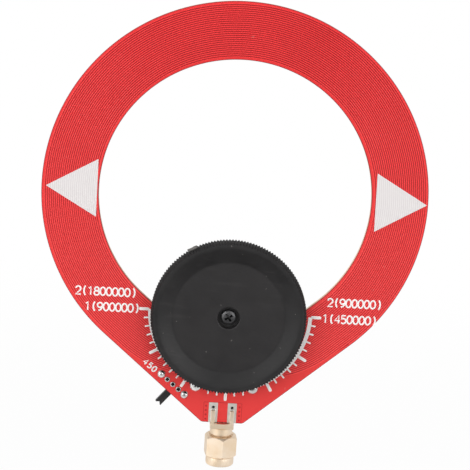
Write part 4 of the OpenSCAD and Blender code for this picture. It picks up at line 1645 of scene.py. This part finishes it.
@dataclass
class TuningKnob(Assembly):
    """The large ribbed knob and the screw that holds it on the shaft."""

    body: ClassVar[str] = "tuner"
    dressed: ClassVar[dict[str, Finish]] = {
        "tuning_shaft": Finishes.BRASS,
        "rotor_plates": Finishes.PLATE,
    }
    ribs: int = 160
    rib_steps: int = 4
    rib_depth: float = 0.42
    tip_r: float = 20.3
    skirt: float = 0.9
    rim: float = 5.3
    face: float = 4.3
    bore_r: float = 2.9
    bore_floor: float = 2.2
    screw_top: float = 3.5
    head_r: float = 1.95
    cross_turn: float = 32.0
    burr_angle: float = 120.0

    def build(self) -> None:
        """Mould the knob and drive its screw."""
        self.make_cap()
        self.make_screw()

    def make_cap(self) -> None:
        """Spin the knob's section, press its ribs in and leave the moulding's burr on the rim."""
        r, top, face, bore = self.tip_r, self.rim, self.face, self.bore_r
        floor, skirt = self.bore_floor, self.skirt
        profile = [
            (1.35, floor), (bore, floor), (bore, face - 0.16), (bore + 0.05, face - 0.05),
            (bore + 0.16, face), (bore + 0.3, face), (14.4, face), (14.7, face), (15.0, face + 0.06),
            (16.2, face + 0.36), (17.4, face + 0.68), (18.3, face + 0.93), (18.6, top - 0.02),
            (18.9, top), (r - 0.72, top), (r - 0.5, top - 0.08), (r - 0.12, top - 0.42), (r, top - 0.62),
            (r, skirt + 0.08), (r - 0.08, skirt), (18.1, skirt), (18.0, skirt + 0.1), (18.0, 3.0),
            (4.5, 3.0), (4.4, 2.9), (4.4, 0.4), (3.04, 0.4), (3.04, 1.45), (1.35, 1.45),
        ]
        cap = Bench.lathe("knob_cap", profile, self.rib_steps * self.ribs)
        for phases, depth in (((1, 3), 0.5), ((2,), 1.0)):
            share = 1 - depth * self.rib_depth / r
            Bench.taper(cap, partial(self.between_ribs, phases), (share, share, 1.0))
        cap = Bench.join("knob_cap", self.burr(), cap)
        place = LAYOUT.front(0.0, LAYOUT.shaft_z)
        self.hand_over(cap, Finishes.KNOB, "tuning_knob", place=place, smooth=28.0)

    def between_ribs(self, phases: tuple[int, ...], corner: Vector) -> bool:
        """True for a corner of the rim at these steps from a rib's tip.

        Args:
            phases: Numbers of steps, of those from one rib to the next.
            corner: The corner's place.

        Returns:
            Whether the corner is one of them.
        """
        step = FULL_TURN / (self.rib_steps * self.ribs)
        far = math.hypot(corner.x, corner.y) > self.tip_r - 0.6
        return far and round(math.atan2(corner.y, corner.x) / step) % self.rib_steps in phases

    def burr(self) -> Thing:
        """Tear the moulding's gate off the rim, leaving a ragged flap.

        Returns:
            The flap as a mesh.
        """
        burr = Bench.block("burr", (-0.5, -1.3, -0.3), (0.5, 1.3, 0.3))
        Bench.edit()
        bpy.ops.mesh.subdivide(number_cuts=3)
        Bench.roughen(offset=0.16, seed=4)
        turn = Matrix.Rotation(math.radians(self.burr_angle), 4, "Z")
        return Bench.shift(burr, turn @ Matrix.Translation((self.tip_r + 0.2, 0.0, self.rim - 1.0)))

    def make_screw(self) -> None:
        """Turn the screw, dome its head and press the cross in."""
        top, floor, r = self.screw_top, self.bore_floor, self.head_r
        profile = [
            (0.0, -2.7), (1.05, -2.7), (1.2, -2.5), (1.2, floor), (r, floor), (r, top - 0.55),
            (r - 0.1, top - 0.3), (r - 0.35, top - 0.12), (r - 0.8, top - 0.03), (0.0, top),
        ]
        screw = Bench.lathe("knob_screw_head", profile, 64, closed=False)
        for turn in (0.0, math.pi / 2):
            blade = Bench.block("blade", (-1.25, -0.3, top - 1.9), (1.25, 0.3, top + 0.4))
            Bench.taper(blade, lambda corner: corner.z < top, (0.6, 0.85, 1.0))
            Bench.combine(screw, Bench.shift(blade, Matrix.Rotation(turn, 4, "Z")))
        Bench.ease(screw, width=0.03, angle=40.0, segments=1)
        turn = Matrix.Rotation(math.radians(self.cross_turn), 4, "Z")
        place = LAYOUT.front(0.0, LAYOUT.shaft_z) @ turn
        self.hand_over(screw, Finishes.BLACKED, "knob_screw", place=place)


@dataclass(frozen=True)
class SolderDome:
    """One soldered pin: a fillet that climbs from its land and rounds over or round the pin."""

    radius: float
    height: float
    seed: int
    crater: float = 0.0
    over: ClassVar[tuple[Point, ...]] = (
        (1.0, 0.0), (0.99, 0.12), (0.9, 0.34), (0.74, 0.62), (0.52, 0.86), (0.28, 0.97), (0.0, 1.0),
    )
    around: ClassVar[tuple[Point, ...]] = (
        (1.0, 0.0), (0.96, 0.5), (0.82, 0.92), (0.66, 1.0), (0.48, 0.8), (0.36, 0.3),
    )

    def make(self) -> Thing:
        """Model the joint on the plane Z 0.

        Returns:
            The joint as a mesh.
        """
        shares = self.around if self.crater else self.over
        profile = [(self.radius * across, self.height * up) for across, up in shares]
        if self.crater:
            profile.append((self.radius * 0.3, -self.crater))
        dome = Bench.lathe("joint", profile, 28, closed=False)
        Bench.pick(dome, lambda corner: corner.z > 0.02)
        Bench.roughen(offset=0.04 * self.radius, seed=self.seed)
        return Bench.flow(dome)


@dataclass
class TuningCapacitor(Assembly):
    """The film capacitor behind the board, in its clear case."""

    dressed: ClassVar[dict[str, Finish]] = {
        "stator_posts": Finishes.BRASS,
        "stator_plates": Finishes.PLATE,
        "insulating_films": Finishes.FILM,
        "capacitor_lugs": Finishes.BRASS,
        "capacitor_screws": Finishes.SCREW,
    }
    case_w: float = 20.0
    case_r: float = 1.6
    base_start: float = 0.1
    base_t: float = 1.6
    cover_depth: float = 9.4
    cover_end: float = 1.4
    wall: float = 0.8
    shaft_bore: float = 3.04
    screw_bore: float = 1.22
    notch_w: float = 2.1
    notch_h: float = 0.45
    trimmer_x: float = 5.0
    trimmer_r: float = 1.5
    trimmer_bore: float = 0.84
    well_r: float = 1.65
    well_depth: float = 0.7
    pivot_r: float = 1.04
    through: float = 3.0
    joint_raise: float = 0.36

    def build(self) -> None:
        """Make the case, the trimmers and the lugs' solder."""
        self.make_base()
        self.make_cover()
        for name, side in zip(("left", "right"), SIDES):
            self.make_trimmer(name, side)
        self.make_joints()

    def square(self) -> list[Point]:
        """The case's rounded outline."""
        half = self.case_w / 2
        return rounded_loop(rectangle(-half, -half, half, half), self.case_r, steps=6)

    def make_base(self) -> None:
        """Mould the base plate."""
        holes = [ring((0.0, 0.0), self.shaft_bore, 48)]
        holes += [ring((s * LAYOUT.screw_x, 0.0), self.screw_bore) for s in SIDES]
        base = Bench.plate("case_base", [self.square(), *holes], self.base_t, bevel=0.12)
        place = LAYOUT.back(0.0, LAYOUT.shaft_z, self.base_start)
        self.hand_over(base, Finishes.BASE, "capacitor_base", place=place)

    def make_cover(self) -> None:
        """Mould the cover: a box open to the base, with wells for the trimmers."""
        depth, half = self.cover_depth, self.case_w / 2
        room = half - self.wall
        cover = Bench.plate("case_cover", [self.square()], depth, bevel=0.25)
        inside = (-room, -room, -1.0), (room, room, depth - self.cover_end)
        Bench.combine(cover, Bench.block("room", *inside))
        for x in (-LAYOUT.lug_x, 0.0, LAYOUT.lug_x):
            low = (x - self.notch_w / 2, -half - 1.0, -1.0)
            high = (x + self.notch_w / 2, -room + 0.5, self.notch_h)
            Bench.combine(cover, Bench.block("notch", low, high))
        tools = [(0.0, 0.0, self.pivot_r, self.through)]
        for side in SIDES:
            tools.append((side * self.trimmer_x, self.trimmer_x, self.well_r, self.well_depth))
            tools.append((side * self.trimmer_x, self.trimmer_x, self.trimmer_bore, self.through))
        for x, y, radius, sink in tools:
            profile = rectangle(0.0, depth - sink, radius, depth + 1.0)
            drill = Bench.lathe("drill", profile, 48, closed=False)
            Bench.combine(cover, Bench.shift(drill, Matrix.Translation((x, y, 0.0))))
        groove = rectangle(2.2, depth - 0.2, 2.6, depth + 1.0)
        Bench.combine(cover, Bench.lathe("groove", groove, 64))
        Bench.ease(cover, width=0.06, angle=50.0)
        place = LAYOUT.back(0.0, LAYOUT.shaft_z, self.base_start + self.base_t)
        self.hand_over(cover, Finishes.CASE, "capacitor_cover", place=place)

    def make_trimmer(self, name: str, side: int) -> None:
        """Turn one trimmer's slotted head.

        Args:
            name: Side of the trimmer, seen from the front.
            side: Minus one for left, one for right.
        """
        back = self.base_start + self.base_t + self.cover_depth
        foot, floor, top, r = back - 1.6, back - 0.65, back - 0.05, self.trimmer_r
        profile = [
            (0.0, foot), (0.72, foot), (0.8, foot + 0.1), (0.8, floor), (r - 0.06, floor),
            (r, floor + 0.06), (r, top - 0.14), (r - 0.12, top), (0.0, top),
        ]
        screw = Bench.lathe(f"{name}_trimmer_screw", profile, 48, closed=False)
        Bench.combine(screw, Bench.block("slot", (-2.0, -0.2, top - 0.3), (2.0, 0.2, top + 1.0)))
        Bench.ease(screw, width=0.03, angle=45.0, segments=1)
        place = LAYOUT.back(side * self.trimmer_x, LAYOUT.shaft_z + self.trimmer_x)
        self.hand_over(screw, Finishes.BRASS, f"trimmer_{name}", place=place, body=f"{name}_trimmer")

    def make_joints(self) -> None:
        """Dome solder round the lugs' pins on the front."""
        outer = LAYOUT.lug_drop - self.joint_raise
        places = [(s * LAYOUT.lug_x, outer, SolderDome(radius=1.58, height=0.8, seed=5 + s)) for s in SIDES]
        places.append((0.0, LAYOUT.mid_lug_drop, SolderDome(radius=1.25, height=0.65, seed=9)))
        domes = [
            Bench.shift(dome.make(), LAYOUT.front(x, LAYOUT.shaft_z - drop)) for x, drop, dome in places
        ]
        self.hand_over(Bench.join("lug_joints", *domes), Finishes.SOLDER, "lug_solder", smooth=60.0)


@dataclass
class BandSwitch(Assembly):
    """The small two-position slide switch behind the lower left edge."""

    dressed: ClassVar[dict[str, Finish]] = {
        "switch_base": Finishes.PHENOLIC,
        # Painted shade: the pins are coloured dark for the shade in their joints' craters.
        "switch_terminals": Finishes.SHADED_PIN,
        "switch_wiper": Finishes.BRASS,
    }
    length: float = 8.6
    width: float = 4.4
    height: float = 4.5
    lift: float = 0.15
    wall: float = 0.3
    tab_x: float = 4.15
    tab_w: float = 1.0
    tab_out: float = 2.2
    dimple_x: float = 2.9
    pitch: float = 2.0
    slider_w: float = 4.2
    lever_low: float = 1.75
    lever_high: float = 4.05
    lever_w: float = 1.8
    lever_reach: float = 7.4
    lever_flat: float = 0.25
    notch: float = 0.6
    travel: float = 2.8
    play: float = 0.15

    def build(self) -> None:
        """Make the can, the lever and the solder."""
        self.make_can()
        self.make_lever()
        self.make_joints()

    def make_can(self) -> None:
        """Fold the steel can, with its slot for the lever and its two tabs."""
        x, y, wall = self.length / 2, self.width / 2, self.wall
        can = Bench.block("switch_can", (-x, -y, self.lift), (x, y, self.height), bevel=0.22)
        inside = (wall - x, wall - y, -1.0), (x - wall, y - wall, self.height - wall)
        Bench.combine(can, Bench.block("room", *inside))
        slot = (self.lever_w + self.travel) / 2 + self.play
        cut = (-slot, y - 1.0, self.lever_low), (slot, y + 1.0, self.lever_high)
        Bench.combine(can, Bench.block("slot", *cut))
        pieces = [can]
        dent = [(0.55, 0.0), (0.5, 0.05), (0.3, 0.06), (0.0, 0.06)]
        for side in SIDES:
            near, far = side * self.tab_x - wall / 2, side * self.tab_x + wall / 2
            low, high = (near, -self.tab_w / 2, -self.tab_out), (far, self.tab_w / 2, self.lift + 0.4)
            pieces.append(Bench.block("tab", low, high, bevel=0.06))
            place = Matrix.Translation((side * self.dimple_x, 0.0, self.height - 0.065))
            pieces.append(Bench.shift(Bench.lathe("dimple", dent, 24, closed=False), place))
        can = Bench.join("switch_can", *pieces)
        self.hand_over(can, Finishes.STEEL, "switch_frame", place=LAYOUT.switch())

    def make_lever(self) -> None:
        """Mould the lever: a block inside the can and a handle with a notched tip."""
        x, y = self.slider_w / 2, self.width / 2 - self.wall - self.play
        low, high = self.lever_low, self.lever_high
        block = Bench.block("slider", (-x, -y, low), (x, y, high), bevel=0.1)
        half, tip, flat = self.lever_w / 2, self.lever_reach, self.lever_flat
        handle = [
            (-half, 0.0), (half, 0.0), (half, tip), (half - flat, tip), (0.0, tip - self.notch),
            (flat - half, tip), (-half, tip),
        ]
        grip = Bench.plate("grip", [handle], high - low - 0.8, bevel=0.1)
        Bench.shift(grip, Matrix.Translation((0.0, 0.0, low + 0.4)))
        lever = Bench.join("switch_handle", block, grip)
        place = LAYOUT.switch() @ Matrix.Translation((self.travel / 2, 0.0, 0.0))
        self.hand_over(lever, Finishes.LEVER, "switch_lever", place=place, body="slider")

    def make_joints(self) -> None:
        """Solder the three pins and the can's two tabs on the front."""
        front = Matrix.Translation((0.0, 0.0, -LAYOUT.board_t)) @ Matrix.Rotation(math.pi, 4, "X")
        pins = [SolderDome(radius=0.78, height=0.32, seed=20 + n, crater=0.3) for n in (-1, 0, 1)]
        tabs = [SolderDome(radius=1.15, height=0.8, seed=30 + s) for s in SIDES]
        places = [*zip((-self.pitch, 0.0, self.pitch), pins), *zip((-self.tab_x, self.tab_x), tabs)]
        domes = []
        for along, dome in places:
            place = LAYOUT.switch() @ front @ Matrix.Translation((along, 0.0, 0.0))
            domes.append(Bench.shift(dome.make(), place))
        joints = Bench.join("switch_joints", *domes)
        self.hand_over(joints, Finishes.SOLDER, "switch_solder", smooth=60.0)


@dataclass(frozen=True)
class Lamp:
    """One soft square lamp, and whether shiny surfaces mirror it."""

    name: str
    place: Point3
    size: float
    power: float
    mirrored: bool = True


@dataclass
class Studio:
    """The camera, the soft light and the pale floor."""

    look: Point3 = (0.476, -2.03, 62.947)
    distance: float = 400.0
    pitch: float = 11.056
    yaw: float = -1.805
    roll: float = 3.459
    lens: float = 118.15
    sensor: float = 36.0
    nearest: float = 10.0
    floor_size: float = 9000.0
    floor_shade: float = 0.4
    world_light: float = 0.72
    glow_before: float = 0.4
    glow_left: float = 1.0
    glow_right: float = 0.84
    glow_behind: float = 0.78
    glow_above: float = 0.5
    lamps: tuple[Lamp, ...] = (
        Lamp("left_lamp", (-800.0, -900.0, 200.0), 900.0, 6.3),
        Lamp("right_lamp", (800.0, -900.0, 160.0), 900.0, 5.8),
        Lamp("top_lamp", (-100.0, -300.0, 1200.0), 600.0, 2.6, False),
        Lamp("back_lamp", (-700.0, 900.0, 600.0), 700.0, 6.0, False),
    )

    def build(self) -> None:
        """Set up the whole studio."""
        self.place_camera()
        self.hang_lamps()
        self.lay_floor()
        self.paint_world()
        bpy.context.scene.view_settings.view_transform = "Standard"

    def place_camera(self) -> None:
        """Stand the camera where the photograph was taken from."""
        pitch, yaw, roll = (math.radians(a) for a in (self.pitch, self.yaw, self.roll))
        flat = math.cos(pitch)
        back = Vector((math.sin(yaw) * flat, -math.cos(yaw) * flat, math.sin(pitch)))
        level = (-back).cross(Vector((0.0, 0.0, 1.0))).normalized()
        upright = level.cross(-back)
        right = level * math.cos(roll) + upright * math.sin(roll)
        up = upright * math.cos(roll) - level * math.sin(roll)
        data = bpy.data.cameras.new("camera")
        data.lens = self.lens
        data.sensor_width = self.sensor
        data.clip_start = self.nearest * MM
        camera = Bench.link("camera", data)
        spin = Matrix((right, up, back)).transposed().to_4x4()
        camera.matrix_world = Matrix.Translation((Vector(self.look) + back * self.distance) * MM) @ spin
        bpy.context.scene.camera = camera

    def hang_lamps(self) -> None:
        """Hang the soft lamps, each turned to the object."""
        for lamp in self.lamps:
            data = bpy.data.lights.new(lamp.name, "AREA")
            data.shape = "SQUARE"
            data.size = lamp.size * MM
            data.energy = lamp.power
            thing = Bench.link(lamp.name, data)
            thing.visible_glossy = lamp.mirrored
            aim = Vector(self.look) - Vector(lamp.place)
            turn = aim.to_track_quat("-Z", "Y").to_matrix().to_4x4()
            thing.matrix_world = Matrix.Translation(Vector(lamp.place) * MM) @ turn

    @staticmethod
    def seen(graph: Graph, rays: Sockets) -> Socket:
        """One where the camera sees a surface, straight or through something clear."""
        return graph.sum("MAXIMUM", rays["Is Camera Ray"], rays["Is Transmission Ray"])

    def lay_floor(self) -> None:
        """Lay the pale floor, which shows white and keeps the object's shadow."""
        Bench.clear()
        bpy.ops.mesh.primitive_plane_add(size=self.floor_size * MM)
        floor = Bench.fresh("floor")
        graph = Surface("pale_floor")
        rays = graph.add("LightPath").outputs
        away = graph.vector("LENGTH", graph.place).outputs["Value"]
        share = graph.sum("MULTIPLY", self.seen(graph, rays), graph.span(away, 0.1, 0.25, 0.975, 1.0))
        near = graph.span(rays["Ray Length"], 0.045, 0.066, 0.78, 0.03)
        before = graph.sum("MAXIMUM", near, graph.span(away, 0.13, 0.24, 0.0, 0.5))
        paint = graph.add("BsdfDiffuse", {"Color": (*[self.floor_shade] * 3, 1.0)})
        glow = graph.add("Emission", {"Color": WHITE, "Strength": 1.0})
        shown = self.reflected(graph, graph.place, before)
        mirror = graph.add("Emission", {"Color": shown, "Strength": 1.0})
        mixed = graph.choose(rays["Is Glossy Ray"], graph.choose(share, paint, glow), mirror)
        floor.data.materials.append(graph.close(mixed))

    def reflected(self, graph: Graph, place: Socket, before: object) -> Socket:
        """Brightness that shiny surfaces see: dim before the object, bright beside and behind it.

        Args:
            graph: The graph that it is built in.
            place: Place on the floor or direction in the world.
            before: Brightness straight before the object.

        Returns:
            The brightness's socket.
        """
        axes = graph.axes(place)
        flat = graph.add("CombineXYZ", {0: axes[0], 1: axes[1], 2: 0.0}).outputs[0]
        across = graph.axes(graph.vector("NORMALIZE", flat).outputs[0])
        beside = graph.span(graph.sum("ABSOLUTE", across[0]), 0.35, 0.8)
        side = graph.span(across[0], -0.1, 0.1, self.glow_left, self.glow_right)
        behind = graph.span(across[1], -0.5, 0.4)
        return graph.toward(behind, graph.toward(beside, before, side), self.glow_behind)

    def paint_world(self) -> None:
        """Surround the object with soft light, white where it is seen."""
        world = bpy.data.worlds.new("studio")
        world.use_nodes = True
        bpy.context.scene.world = world
        graph = Graph(world.node_tree)
        rays = graph.add("LightPath").outputs
        place = graph.add("TexCoord").outputs["Generated"]
        level = self.reflected(graph, place, self.glow_before)
        high = graph.span(graph.axes(place)[2], 0.5, 0.9)
        glow = graph.toward(high, level, self.glow_above)
        shown = graph.add("Background", {"Color": glow, "Strength": 1.0})
        light = graph.add("Background", {"Color": WHITE, "Strength": self.world_light})
        white = graph.add("Background", {"Color": WHITE, "Strength": 1.0})
        mixed = graph.choose(rays["Is Glossy Ray"], light, shown)
        mixed = graph.choose(self.seen(graph, rays), mixed, white)
        graph.add("OutputWorld", {"Surface": mixed.outputs[0]})


def main() -> None:
    """Set up the studio, then build every sub-assembly in order."""
    logging.basicConfig(level=logging.INFO, format="%(message)s")
    Studio().build()
    for assembly in (LoopBoard(), FrontPrint(), CoaxPlug(), TuningKnob(), TuningCapacitor(), BandSwitch()):
        assembly.build()
        assembly.dress_nodes()
        LOG.info("%s is finished", type(assembly).__name__)


if __name__ == "__main__":
    main()
